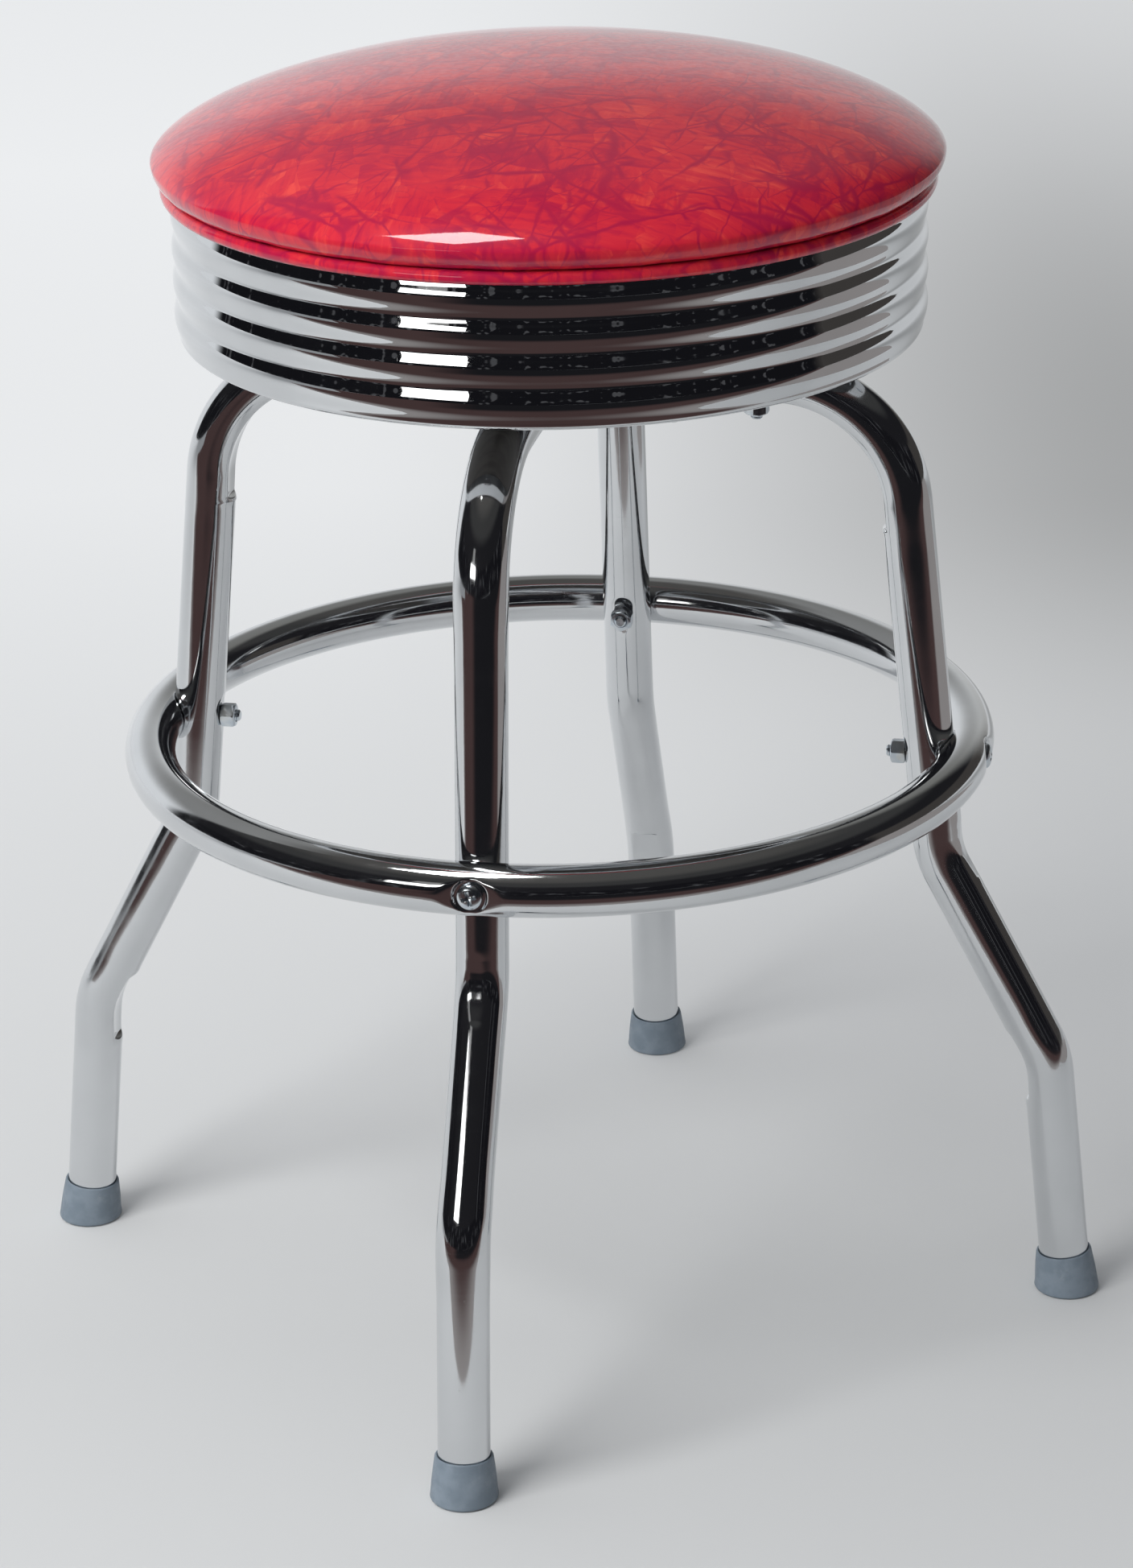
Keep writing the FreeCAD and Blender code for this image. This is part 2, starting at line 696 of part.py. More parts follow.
def swivel_plate(name, flange_bottom, disc_rise, screw_circle, screw_radius, centre_hole):
    """A square sheet with its corners over the legs, drawn up or down in the
    middle to a disc that carries half of the ball track."""
    body = new_body(name)
    flange = new_sketch(body, "XY_Plane", "flange", flange_bottom)
    reach = d.plate_reach
    cut = d.plate_corner * SQRT_HALF
    near = reach - cut
    slope_inner = d.raceway_disc - d.raceway_slope / 2
    slope_outer = d.raceway_disc + d.raceway_slope / 2
    flange_inner = slope_outer + d.raceway_land
    outline(flange, [
        (near, -cut, d.plate_corner), (near, cut), (cut, near, d.plate_corner), (-cut, near),
        (-near, cut, d.plate_corner), (-near, -cut), (-cut, -near, d.plate_corner), (cut, -near),
    ])
    circle(flange, 0, 0, flange_inner)
    pad(body, flange, d.plate_sheet)
    disc = new_sketch(body, "XZ_Plane", "disc")
    low = flange_bottom
    high = flange_bottom + d.plate_sheet
    outline(disc, [
        (centre_hole, low + disc_rise), (slope_inner, low + disc_rise), (slope_outer, low),
        (flange_inner + d.raceway_land, low), (flange_inner + d.raceway_land, high), (slope_outer, high),
        (slope_inner, high + disc_rise), (centre_hole, high + disc_rise),
    ])
    revolve(body, disc)
    track = new_sketch(body, "XZ_Plane", "track")
    circle(track, d.ball_circle, ball_height, d.ball_radius + d.ball_gap)
    before = volume(body)
    revolve(body, track, "Groove")
    must_change(body, before, "track")
    hole = new_sketch(body, "XY_Plane", "hole")
    circle(hole, screw_circle, 0, screw_radius)
    drilled = pocket(body, hole)
    turn_copies(body, LEG_COUNT, [drilled])
    return body


def bearing_balls():
    body = new_body("bearing_balls")
    half = new_sketch(body, "XZ_Plane", "half")
    outline(half, [
        (d.ball_circle, ball_height - d.ball_radius, d.ball_radius),
        (d.ball_circle + d.ball_radius, ball_height, d.ball_radius),
        (d.ball_circle, ball_height + d.ball_radius),
    ])
    revolve(body, half, axis=(half, ["Edge3"]))
    turn_copies(body, int(d.ball_count.value))
    return body


def ball_cage():
    body = new_body("ball_cage")
    ring = new_sketch(body, "XY_Plane", "ring", ball_height - d.cage_sheet / 2)
    circle(ring, 0, 0, d.cage_outer)
    circle(ring, 0, 0, d.cage_inner)
    pad(body, ring, d.cage_sheet)
    hole = new_sketch(body, "XY_Plane", "hole")
    circle(hole, d.ball_circle, 0, d.ball_radius + d.cage_gap)
    drilled = pocket(body, hole)
    turn_copies(body, int(d.ball_count.value), [drilled])
    return body


def centre_rivet():
    """The shouldered rivet that the top plate turns on."""
    body = new_body("centre_rivet")
    profile = new_sketch(body, "XZ_Plane", "profile")
    tail_top = frame_top + d.raceway_rise
    tail_bottom = tail_top - d.rivet_head_height
    outline(profile, [
        (0, tail_bottom), (d.rivet_tail_radius, tail_bottom), (d.rivet_tail_radius, tail_top),
        (d.rivet_radius, tail_top), (d.rivet_radius, rivet_shoulder),
        (d.rivet_head_radius, rivet_shoulder),
        (d.rivet_head_radius, rivet_shoulder + d.rivet_head_height / 2),
        (d.rivet_radius, rivet_shoulder + d.rivet_head_height),
        (0, rivet_shoulder + d.rivet_head_height),
    ])
    revolve(body, profile)
    return body


def rivet_washer():
    body = new_body("rivet_washer")
    section = new_sketch(body, "XY_Plane", "section", rivet_shoulder - d.washer_sheet)
    circle(section, 0, 0, d.washer_radius)
    circle(section, 0, 0, rivet_hole)
    pad(body, section, d.washer_sheet)
    return body


# ------------------------------------------------------------------------ seat

def wood_screws(name, circle_radius, seat, radius, length, head_radius, head_height, count):
    """Pointed screws that go up from the height called seat."""
    body = new_body(name)
    profile = new_sketch(body, "XZ_Plane", "profile")
    edge = head_height / 3
    outline(profile, [
        (circle_radius, seat - head_height, cap_radius(head_radius, head_height - edge)),
        (circle_radius + head_radius, seat - edge),
        (circle_radius + head_radius, seat),
        (circle_radius + radius, seat),
        (circle_radius + radius, seat + length - radius * 2),
        (circle_radius, seat + length),
    ])
    revolve(body, profile, axis=(profile, ["Edge6"]))
    turn_copies(body, count)
    return body


def seat_board():
    body = new_body("seat_board")
    section = new_sketch(body, "XY_Plane", "section", d.seat_base)
    circle(section, 0, 0, d.board_radius)
    pad(body, section, d.board_thickness)
    bore = new_sketch(body, "XY_Plane", "bore", d.seat_base)
    circle(bore, 0, 0, d.board_bore)
    pocket(body, bore, d.board_bore_depth, reverse=True)
    return body


def dome_points(inset):
    """Crown, shoulder and underside of the dome, from the axis outward, moved
    in by inset.  Each point carries the arc to the next one."""
    crown = crown_radius - inset
    shoulder = d.dome_shoulder - inset
    underside = d.dome_underside - inset
    join = crown / (crown_radius - d.dome_shoulder)
    under_centre = d.cushion_radius - d.dome_underside
    drop = d.dome_edge_height - d.groove_height - inset
    reach = Size(math.sqrt(underside.value ** 2 - drop.value ** 2),
                 "sqrt(%s ^ 2 - %s ^ 2)" % (underside.text, drop.text))
    return [
        (as_size(0), dome_top - inset, -crown),
        (shoulder_x * join, dome_top - crown_radius + (d.dome_edge_height - dome_top + crown_radius) * join,
         -shoulder),
        (d.cushion_radius - inset, d.dome_edge_height, -underside),
        (under_centre + reach, d.groove_height + inset),
    ]


def backwards(points):
    """The same outline run the other way, with its arcs on the other side."""
    result = []
    for number in range(len(points) - 1, 0, -1):
        bow = points[number - 1][2] if len(points[number - 1]) > 2 else None
        corner = points[number][:2]
        result.append(corner + (-bow,) if bow is not None else corner)
    return result + [points[0][:2]]


def drill_band_screw_holes(body, low, sheet_thickness):
    """Holes for the band screws through a sheet whose underside is at low."""
    hole = new_sketch(body, "XY_Plane", "screw_hole", low - CUT_MARGIN)
    circle(hole, d.band_screw_circle, 0, d.band_screw_radius + d.band_hole_gap)
    drilled = pocket(body, hole, sheet_thickness + CUT_MARGIN * 2, reverse=True)
    turn_copies(body, BAND_SCREW_COUNT, [drilled])


def seat_cover():
    """Vinyl skin: the dome, a skirt inside the band, and a hem under the board."""
    body = new_body("seat_cover")
    profile = new_sketch(body, "XZ_Plane", "profile")
    outer = d.skirt_radius
    inner = d.skirt_radius - d.cover_sheet
    dome_outside = backwards(dome_points(as_size(0)))
    dome_inside = dome_points(d.cover_sheet)
    outline(profile, [
        (d.hem_inner_radius, hem_bottom), (outer - d.hem_corner, hem_bottom, d.hem_corner),
        (outer, hem_bottom + d.hem_corner), (outer, d.groove_height),
        *dome_outside, *dome_inside,
        (inner, d.groove_height + d.cover_sheet), (inner, hem_top), (d.hem_inner_radius, hem_top),
    ])
    revolve(body, profile)
    drill_band_screw_holes(body, hem_bottom, d.hem_sheet)
    return body


def foam_pad():
    body = new_body("foam_pad")
    profile = new_sketch(body, "XZ_Plane", "profile")
    side = d.skirt_radius - d.cover_sheet - d.foam_gap
    outline(profile, [
        (0, board_top), (side, board_top), (side, d.groove_height + d.cover_sheet + d.foam_gap),
        *backwards(dome_points(d.cover_sheet + d.foam_gap)),
    ])
    revolve(body, profile)
    return body


def seat_lip():
    """The lower roll of vinyl between the groove and the band."""
    body = new_body("seat_lip")
    profile = new_sketch(body, "XZ_Plane", "profile")
    inner = d.skirt_radius + d.foam_gap
    top = d.lip_bottom + d.lip_height
    middle = d.lip_bottom + d.lip_height / 2
    shoulder = d.lip_radius - d.lip_shoulder
    outline(profile, [
        (inner, d.lip_bottom), (shoulder, d.lip_bottom, d.lip_bow),
        (d.lip_radius, middle, d.lip_bow), (shoulder, top), (inner, top),
    ])
    revolve(body, profile)
    return body


def chrome_band():
    """Sheet metal ring with four convex ribs, rolled in to a flange below."""
    body = new_body("chrome_band")
    profile = new_sketch(body, "XZ_Plane", "profile")
    inner = d.rib_groove_radius - d.band_sheet
    corner = d.band_corner
    turn = d.band_bottom + corner
    flange_top = d.band_bottom + d.band_sheet
    grooves = [turn] + [d.first_groove + d.rib_pitch * number for number in range(RIB_COUNT)]
    heights = [d.first_groove - turn] + [d.rib_pitch] * (RIB_COUNT - 1)
    bows = [cap_radius(height / 2, d.rib_depth) for height in heights]
    outside = [(d.rib_groove_radius, height, bow) for height, bow in zip(grooves, bows)]
    inside = [(inner, height, -bow) for height, bow in zip(grooves[:0:-1], bows[::-1])]
    outline(profile, [
        (d.flange_inner, d.band_bottom), (d.rib_groove_radius - corner, d.band_bottom, corner),
        *outside, (d.rib_groove_radius, grooves[-1]),
        *inside, (inner, turn, -(corner - d.band_sheet)),
        (d.rib_groove_radius - corner, flange_top), (d.flange_inner, flange_top),
    ])
    revolve(body, profile)
    drill_band_screw_holes(body, d.band_bottom, d.band_sheet)
    return body


def cover_staples():
    """Wire staples through the cover's hem into the board."""
    body = new_body("cover_staples")
    wire = new_sketch(body, "YZ_Plane", "wire", d.staple_circle - d.staple_wire / 2)
    half = d.staple_width / 2
    under = hem_top - d.cover_sheet
    up = under + d.staple_leg
    outline(wire, [
        (-half, under - d.staple_wire), (half, under - d.staple_wire), (half, up),
        (half - d.staple_wire, up), (half - d.staple_wire, under), (d.staple_wire - half, under),
        (d.staple_wire - half, up), (-half, up),
    ])
    pad(body, wire, d.staple_wire)
    turn_copies(body, STAPLE_COUNT)
    return body


# ----------------------------------------------------------------- the object

frame_left_right = leg_frame("frame_left_right", lap_above=True)
frame_front_back = leg_frame("frame_front_back", lap_above=False)
frame_front_back.Placement = FreeCAD.Placement(
    FreeCAD.Vector(0, 0, 0), FreeCAD.Rotation(FreeCAD.Vector(0, 0, 1), 90))

pieces = [
    frame_left_right,
    frame_front_back,
    foot_ring(),
    ring_screws(),
    ring_nuts(),
    plate_bolts(),
    plate_nuts(),
    swivel_plate("swivel_bottom_plate", frame_top, d.raceway_rise, d.plate_bolt_circle,
                 d.screw_hole_radius, d.rivet_radius + d.rivet_fit),
    bearing_balls(),
    ball_cage(),
    centre_rivet(),
    rivet_washer(),
    swivel_plate("swivel_top_plate", top_plate_bottom, -d.raceway_drop, d.top_screw_circle,
                 d.wood_screw_radius + d.plate_hole_gap, rivet_hole),
    wood_screws("top_plate_screws", d.top_screw_circle, top_plate_bottom, d.wood_screw_radius,
                d.wood_screw_length, d.wood_screw_head, d.wood_screw_head_height, LEG_COUNT),
    seat_board(),
    foam_pad(),
    seat_cover(),
    cover_staples(),
    seat_lip(),
    chrome_band(),
    wood_screws("band_screws", d.band_screw_circle, d.band_bottom, d.band_screw_radius,
                d.band_screw_length, d.band_screw_head, d.band_screw_head_height, BAND_SCREW_COUNT),
]
for side, (along_x, along_y) in zip(("right", "back", "left", "front"), QUARTER_TURNS):
    pieces.append(foot_cap("foot_cap_" + side, along_x, along_y))

document.recompute()
for item in document.Objects:
    if "Invalid" in item.State or "Error" in item.State:
        raise RuntimeError("%s failed: %s" % (item.Name, item.State))

os.makedirs("parts", exist_ok=True)
for piece in pieces:
    shape = piece.Shape
    if shape.isNull() or not shape.isValid() or not shape.Solids:
        raise RuntimeError("%s has no valid solid" % piece.Label)
    shape.exportStep(os.path.join("parts", piece.Label + ".step"))
    box = shape.BoundBox
    print("%-22s solids %2d  volume %10.0f  z %7.2f to %7.2f  x to %7.2f"
          % (piece.Label, len(shape.Solids), shape.Volume, box.ZMin, box.ZMax, box.XMax))
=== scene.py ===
import math

import bmesh
import bpy
import numpy as np
from mathutils import Matrix, Vector


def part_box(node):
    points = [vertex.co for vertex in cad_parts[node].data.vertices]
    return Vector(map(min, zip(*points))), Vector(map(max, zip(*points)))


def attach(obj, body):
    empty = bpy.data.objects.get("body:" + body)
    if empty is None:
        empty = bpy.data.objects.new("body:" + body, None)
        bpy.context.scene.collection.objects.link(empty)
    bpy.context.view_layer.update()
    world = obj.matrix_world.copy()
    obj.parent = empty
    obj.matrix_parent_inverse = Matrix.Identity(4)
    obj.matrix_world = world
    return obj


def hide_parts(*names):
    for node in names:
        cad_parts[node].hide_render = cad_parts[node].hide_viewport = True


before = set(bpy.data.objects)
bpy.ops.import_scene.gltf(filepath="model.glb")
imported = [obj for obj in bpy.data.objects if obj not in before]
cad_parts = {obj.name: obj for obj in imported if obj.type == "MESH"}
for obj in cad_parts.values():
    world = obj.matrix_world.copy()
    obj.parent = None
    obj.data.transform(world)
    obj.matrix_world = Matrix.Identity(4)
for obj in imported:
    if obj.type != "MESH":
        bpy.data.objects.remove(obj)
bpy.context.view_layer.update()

# A counter stool: red crackle vinyl over a domed foam seat, a ribbed chrome
# band, two bent tube frames and a foot ring.  Metres and radians; the frame's
# own boxes give the heights that the pieces share with it.

SEGMENTS = 256                      # around the seat
LEG_DIRECTIONS = [0.0, 0.5 * math.pi, math.pi, 1.5 * math.pi]
scene = bpy.context.scene

# ------ sizes from the frame

frame_low, frame_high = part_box("frame_left_right")
ring_low, ring_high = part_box("foot_ring")
cover_low, cover_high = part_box("seat_cover")
lip_low, lip_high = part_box("seat_lip")
band_low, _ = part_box("chrome_band")
_, board_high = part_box("seat_board")
_, screw_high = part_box("ring_screws")
_, nut_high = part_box("ring_nuts")
plate_nut_low, plate_nut_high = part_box("plate_nuts")
bolt_low, bolt_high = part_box("plate_bolts")

TUBE_RADIUS = 0.0127
FRAME_HEIGHT = frame_high.z - TUBE_RADIUS
RING_HEIGHT = 0.5 * (ring_low.z + ring_high.z)
RING_RADIUS = 0.2065
DOME_TOP = cover_high.z
CUSHION_RADIUS = cover_high.x

VINYL_RED = (0.58, 0.018, 0.038)
VINYL_LIGHT = (0.72, 0.058, 0.047)
VINYL_DEEP = (0.43, 0.008, 0.044)
VINYL_CREASE = (0.36, 0.006, 0.046)

# ------ mesh tools


def turns(segments):
    """Equal steps of a full turn."""
    return np.linspace(0.0, 2.0 * math.pi, segments, endpoint=False)


def level_ring(reach, turn, height):
    """A ring of points at one height, with one reach or one for each turn."""
    return np.column_stack([reach * np.cos(turn), reach * np.sin(turn), np.full(len(turn), height)])


def pole(height):
    return np.array([[0.0, 0.0, height]])


def skin(rings, closed=False):
    """Points and faces of a skin over rings of points.  A ring of one point is
    a pole.  A closed skin joins its last ring to its first."""
    starts = np.cumsum([0] + [len(ring) for ring in rings])
    points = np.vstack(rings)
    faces = []
    pairs = list(zip(range(len(rings) - 1), range(1, len(rings))))
    if closed:
        pairs.append((len(rings) - 1, 0))
    for first, second in pairs:
        here = starts[first]
        there = starts[second]
        count = max(len(rings[first]), len(rings[second]))
        for number in range(count):
            following = (number + 1) % count
            if len(rings[first]) == 1:
                faces.append((here, there + following, there + number))
            elif len(rings[second]) == 1:
                faces.append((here + number, here + following, there))
            else:
                faces.append((here + number, here + following, there + following, there + number))
    return points, faces


def lathe(profile, segments=SEGMENTS, closed=False):
    """A profile of (radius, height) turned about the Z axis."""
    rings = []
    for radius, height in profile:
        if radius < 1e-7:
            rings.append(pole(height))
        else:
            rings.append(level_ring(radius, turns(segments), height))
    return skin(rings, closed)


def merge(parts):
    """Several (points, faces) as one."""
    points, faces, start = [], [], 0
    for part_points, part_faces in parts:
        points.append(part_points)
        faces.extend(tuple(start + corner for corner in face) for face in part_faces)
        start += len(part_points)
    return np.vstack(points), faces


def moved(part, matrix):
    """(points, faces) with the points taken through a 4 x 4 matrix."""
    points, faces = part
    turn = np.array(matrix.to_3x3())
    return points @ turn.T + np.array(matrix.translation), faces


def add_object(name, data):
    thing = bpy.data.objects.new(name, data)
    scene.collection.objects.link(thing)
    return thing


def new_piece(name, part, material, body, node, sharp_angle):
    """A mesh object that rides on a body of the frame and replaces a node."""
    points, faces = part
    mesh = bpy.data.meshes.new(name)
    mesh.from_pydata(points.tolist(), [], faces)
    work = bmesh.new()
    work.from_mesh(mesh)
    bmesh.ops.recalc_face_normals(work, faces=work.faces)
    work.to_mesh(mesh)
    work.free()
    mesh.shade_smooth()
    mesh.set_sharp_from_angle(angle=math.radians(sharp_angle))
    mesh.materials.append(material)
    piece = add_object(name, mesh)
    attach(piece, body)
    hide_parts(node)
    return piece


def smooth_step(value, low, high):
    share = np.clip((np.asarray(value, float) - low) / (high - low), 0.0, 1.0)
    return share * share * (3.0 - 2.0 * share)


def soft_minimum(value, limit, width):
    """The smaller of the two, rounded over where they meet."""
    gap = np.asarray(value, float) - limit
    return limit + 0.5 * (gap - np.sqrt(gap * gap + width * width))


def soft_maximum(value, limit, width):
    return -soft_minimum(-np.asarray(value, float), -np.asarray(limit, float), width)


# ------ material tools


class Tree:
    """A node tree, with short ways to add to it."""

    def __init__(self, tree, coordinates):
        self.tree = tree
        self.place = tree.nodes.new("ShaderNodeTexCoord").outputs[coordinates]

    def feed(self, socket, value):
        """Links a socket to another, or sets its value."""
        if isinstance(value, bpy.types.NodeSocket):
            self.tree.links.new(value, socket)
        elif socket.type == "RGBA":
            socket.default_value = (*value[:3], 1.0)
        else:
            socket.default_value = value

    def add(self, kind, inputs, **settings):
        node = self.tree.nodes.new(kind)
        for key, value in settings.items():
            setattr(node, key, value)
        for key, value in inputs.items():
            self.feed(node.inputs[key], value)
        return node

    def noise(self, scale, detail=4.0, roughness=0.5, place=None, distortion=0.0, output="Fac"):
        node = self.add("ShaderNodeTexNoise", {
            "Vector": place or self.place, "Scale": scale, "Detail": detail,
            "Roughness": roughness, "Distortion": distortion})
        return node.outputs[output]

    def span(self, value, low, high, to_low=0.0, to_high=1.0, smooth=True):
        node = self.add("ShaderNodeMapRange", {
            "Value": value, "From Min": low, "From Max": high, "To Min": to_low, "To Max": to_high},
            interpolation_type="SMOOTHSTEP" if smooth else "LINEAR")
        return node.outputs["Result"]

    def math(self, operation, first, second=0.0):
        return self.add("ShaderNodeMath", {0: first, 1: second}, operation=operation).outputs["Value"]

    def times(self, first, second):
        return self.math("MULTIPLY", first, second)

    def vector_math(self, operation, first, second=(0.0, 0.0, 0.0)):
        node = self.add("ShaderNodeVectorMath", {0: first, 1: second}, operation=operation)
        return node.outputs["Value" if operation == "DOT_PRODUCT" else "Vector"]

    def centred(self, colour):
        return self.vector_math("SUBTRACT", colour, (0.5, 0.5, 0.5))

    def scaled(self, place, factor):
        node = self.add("ShaderNodeVectorMath", {0: place, "Scale": factor}, operation="SCALE")
        return node.outputs["Vector"]

    def stretched(self, scale, turn=(0.0, 0.0, 0.0), place=None, **settings):
        inputs = {"Vector": place or self.place, "Scale": scale, "Rotation": turn}
        return self.add("ShaderNodeMapping", inputs, **settings).outputs["Vector"]

    def mix(self, factor, first, second):
        return self.add("ShaderNodeMix", {"Factor": factor, 6: first, 7: second}, data_type="RGBA").outputs[2]

    def mix_value(self, factor, first, second):
        return self.add("ShaderNodeMix", {"Factor": factor, "A": first, "B": second}).outputs["Result"]

    def bump(self, height, strength, distance, normal=None):
        inputs = {"Height": height, "Strength": strength, "Distance": distance}
        if normal is not None:
            inputs["Normal"] = normal
        return self.add("ShaderNodeBump", inputs).outputs["Normal"]


class Nodes(Tree):
    """The node tree of a new material."""

    def __init__(self, name):
        self.material = bpy.data.materials.new(name)
        self.material.use_nodes = True
        super().__init__(self.material.node_tree, "Object")

    def finish(self, **sockets):
        """Sets the shader's sockets."""
        for key, value in sockets.items():
            self.feed(self.tree.nodes["Principled BSDF"].inputs[key.replace("_", " ")], value)
        return self.material

    def glow(self, colour, strength):
        """Makes the material a plain light of its own."""
        emission = self.add("ShaderNodeEmission", {"Color": colour, "Strength": strength}).outputs["Emission"]
        self.feed(self.tree.nodes["Material Output"].inputs["Surface"], emission)
        return self.material


# ------ materials


def vinyl_material():
    """Glossy red vinyl printed to look like crushed, folded foil."""
    n = Nodes("red_crackle_vinyl")
    wander = n.centred(n.noise(17.0, 2.0, output="Color"))
    ripple = n.centred(n.noise(120.0, 3.0, output="Color"))
    place = n.vector_math("ADD", n.place, n.scaled(wander, 0.016))
    place = n.vector_math("ADD", place, n.scaled(ripple, 0.0022))

    def folds(scale, stretch, turn):
        """Facets of folded foil, each shaded from one edge to the other."""
        where = n.stretched(stretch, (0.0, 0.0, turn), place)
        cells = n.add("ShaderNodeTexVoronoi", {"Vector": where, "Scale": scale, "Randomness": 1.0})
        direction = n.centred(cells.outputs["Color"])
        direction = n.vector_math("MULTIPLY", direction, (1.0, 1.0, 0.3))
        from_centre = n.vector_math("SUBTRACT", where, cells.outputs["Position"])
        slope = n.vector_math("DOT_PRODUCT", n.scaled(from_centre, scale), n.scaled(direction, 3.0))
        return slope, cells.outputs["Color"]

    def creases(scale, squeeze, turn, width, seed, share):
        """Crease lines of uneven width along one direction, broken into stretches."""
        along = n.stretched((1.0, 1.0 / squeeze, 1.0), (0.0, 0.0, turn), place, vector_type="TEXTURE")
        where = n.vector_math("ADD", along, (seed, 0.37 * seed, 0.0))
        edges = n.add("ShaderNodeTexVoronoi", {"Vector": where, "Scale": scale, "Randomness": 1.0},
                      feature="DISTANCE_TO_EDGE")
        uneven = n.span(n.noise(70.0, 2.0), 0.3, 0.75, 0.3 * width, 1.6 * width)
        near = n.math("DIVIDE", edges.outputs["Distance"], uneven)
        line = n.span(near, 0.1, 1.0, 1.0, 0.0)
        return n.times(line, n.span(n.noise(0.8 * scale, 1.0, 0.5, where), share, share + 0.10))

    large, large_colour = folds(20.0, (1.0, 2.0, 1.0), 0.5)
    medium, medium_colour = folds(34.0, (2.2, 1.0, 1.0), 0.9)
    small, _ = folds(70.0, (1.0, 2.2, 1.0), 2.4)
    streak_place = n.vector_math("ADD", n.stretched((36.0, 330.0, 60.0), (0.0, 0.0, 0.7), place),
                                 n.scaled(large_colour, 9.0))
    streak_other = n.vector_math("ADD", n.stretched((330.0, 42.0, 60.0), (0.0, 0.0, 0.4), place),
                                 n.scaled(medium_colour, 7.0))
    chosen = n.add("ShaderNodeSeparateColor", {"Color": large_colour}).outputs["Green"]
    streaks = n.mix_value(n.span(chosen, 0.42, 0.58), n.noise(1.0, 3.0, 0.6, streak_place),
                          n.noise(1.0, 3.0, 0.6, streak_other))
    streaks = n.math("SUBTRACT", streaks, 0.5)
    clouds = n.math("SUBTRACT", n.noise(9.0, 2.0), 0.5)
    tone = n.times(large, 0.34)
    for part, weight in ((medium, 0.26), (small, 0.14), (streaks, 1.5), (clouds, 0.5)):
        tone = n.math("ADD", tone, n.times(part, weight))
    lines = n.times(creases(88.0, 1.0, 0.0, 0.07, 7.7, 0.52), 0.4)
    for scale, squeeze, turn, width, seed, share, strength in (
            (17.0, 3.6, 0.35, 0.075, 0.0, 0.48, 1.0), (18.0, 4.2, 1.35, 0.080, 2.3, 0.49, 0.95),
            (16.0, 3.8, 2.45, 0.075, 5.1, 0.49, 0.9), (34.0, 3.0, 0.9, 0.090, 3.1, 0.50, 0.8),
            (32.0, 3.2, 2.9, 0.090, 8.4, 0.51, 0.7)):
        layer = creases(scale, squeeze, turn, width, seed, share)
        lines = n.math("MAXIMUM", lines, n.times(layer, strength))
    colour = n.mix(n.span(tone, -0.50, 0.10), VINYL_DEEP, VINYL_RED)
    colour = n.mix(n.times(n.span(tone, 0.05, 0.75), 0.85), colour, VINYL_LIGHT)
    colour = n.mix(n.times(lines, 0.95), colour, VINYL_CREASE)
    peel = n.bump(n.noise(900.0, 2.0), 0.10, 0.00006)
    soft = n.bump(n.noise(45.0, 2.0), 0.25, 0.0003, peel)
    roughness = n.span(n.noise(300.0, 3.0), 0.3, 0.7, 0.30, 0.42)
    return n.finish(Base_Color=colour, Roughness=roughness, Normal=soft, Coat_Weight=1.0,
                    Coat_Roughness=0.04, Coat_IOR=1.48, Coat_Normal=soft, Specular_IOR_Level=0.08)


def chrome_material(name, clearest, dullest):
    """Chrome plate with faint waviness, hair scratches and dull spots, between
    two roughnesses."""
    n = Nodes(name)
    tint = n.mix(n.span(n.noise(16.0), 0.3, 0.7), (0.73, 0.745, 0.76), (0.67, 0.685, 0.70))
    scratches = n.noise(1.0, 2.0, 0.6, n.stretched((35.0, 35.0, 1600.0), (0.6, 0.35, 0.2)))
    crossing = n.noise(1.0, 2.0, 0.6, n.stretched((1500.0, 30.0, 60.0), (0.2, 0.8, 0.5)))
    hair = n.math("MAXIMUM", n.span(scratches, 0.70, 0.76), n.span(crossing, 0.71, 0.77))
    smears = n.span(n.noise(38.0, 5.0, 0.62), 0.46, 0.74, clearest, dullest)
    pits = n.span(n.noise(420.0, 2.0), 0.72, 0.80, 0.0, 0.14)
    roughness = n.math("ADD", smears, n.math("MAXIMUM", pits, n.times(hair, 0.08)))
    wavy = n.bump(n.noise(40.0, 1.0), 0.22, 0.00025)
    scratched = n.bump(hair, 0.05, 0.00002, wavy)
    return n.finish(Base_Color=tint, Metallic=1.0, Roughness=roughness, Normal=scratched)


def zinc_material():
    """Bright zinc fasteners with a faint blue passivation."""
    n = Nodes("bright_zinc")
    bluish = n.mix(n.span(n.noise(240.0, 3.0), 0.35, 0.65), (0.58, 0.64, 0.70), (0.70, 0.74, 0.77))
    colour = n.mix(n.span(n.noise(90.0, 2.0), 0.56, 0.72), bluish, (0.66, 0.65, 0.60))
    roughness = n.span(n.noise(500.0, 3.0), 0.3, 0.7, 0.15, 0.25)
    grain = n.bump(n.noise(1500.0, 2.0), 0.10, 0.00003)
    return n.finish(Base_Color=colour, Metallic=1.0, Roughness=roughness, Normal=grain)


def plate_material():
    """Zinc plated sheet with a crystal spangle and handling marks."""
    n = Nodes("plated_sheet")
    crystals = n.add("ShaderNodeTexVoronoi", {"Vector": n.place, "Scale": 260.0})
    tone = n.add("ShaderNodeSeparateColor", {"Color": crystals.outputs["Color"]}).outputs["Red"]
    spangle = n.mix(tone, (0.44, 0.46, 0.49), (0.60, 0.62, 0.64))
    stain = n.span(n.noise(30.0, 5.0, 0.6), 0.52, 0.70)
    colour = n.mix(n.times(stain, 0.5), spangle, (0.34, 0.33, 0.31))
    roughness = n.math("ADD", n.times(tone, 0.12), n.span(stain, 0.0, 1.0, 0.30, 0.48))
    dents = n.bump(n.noise(120.0, 3.0), 0.2, 0.0002)
    return n.finish(Base_Color=colour, Metallic=1.0, Roughness=roughness, Normal=dents)


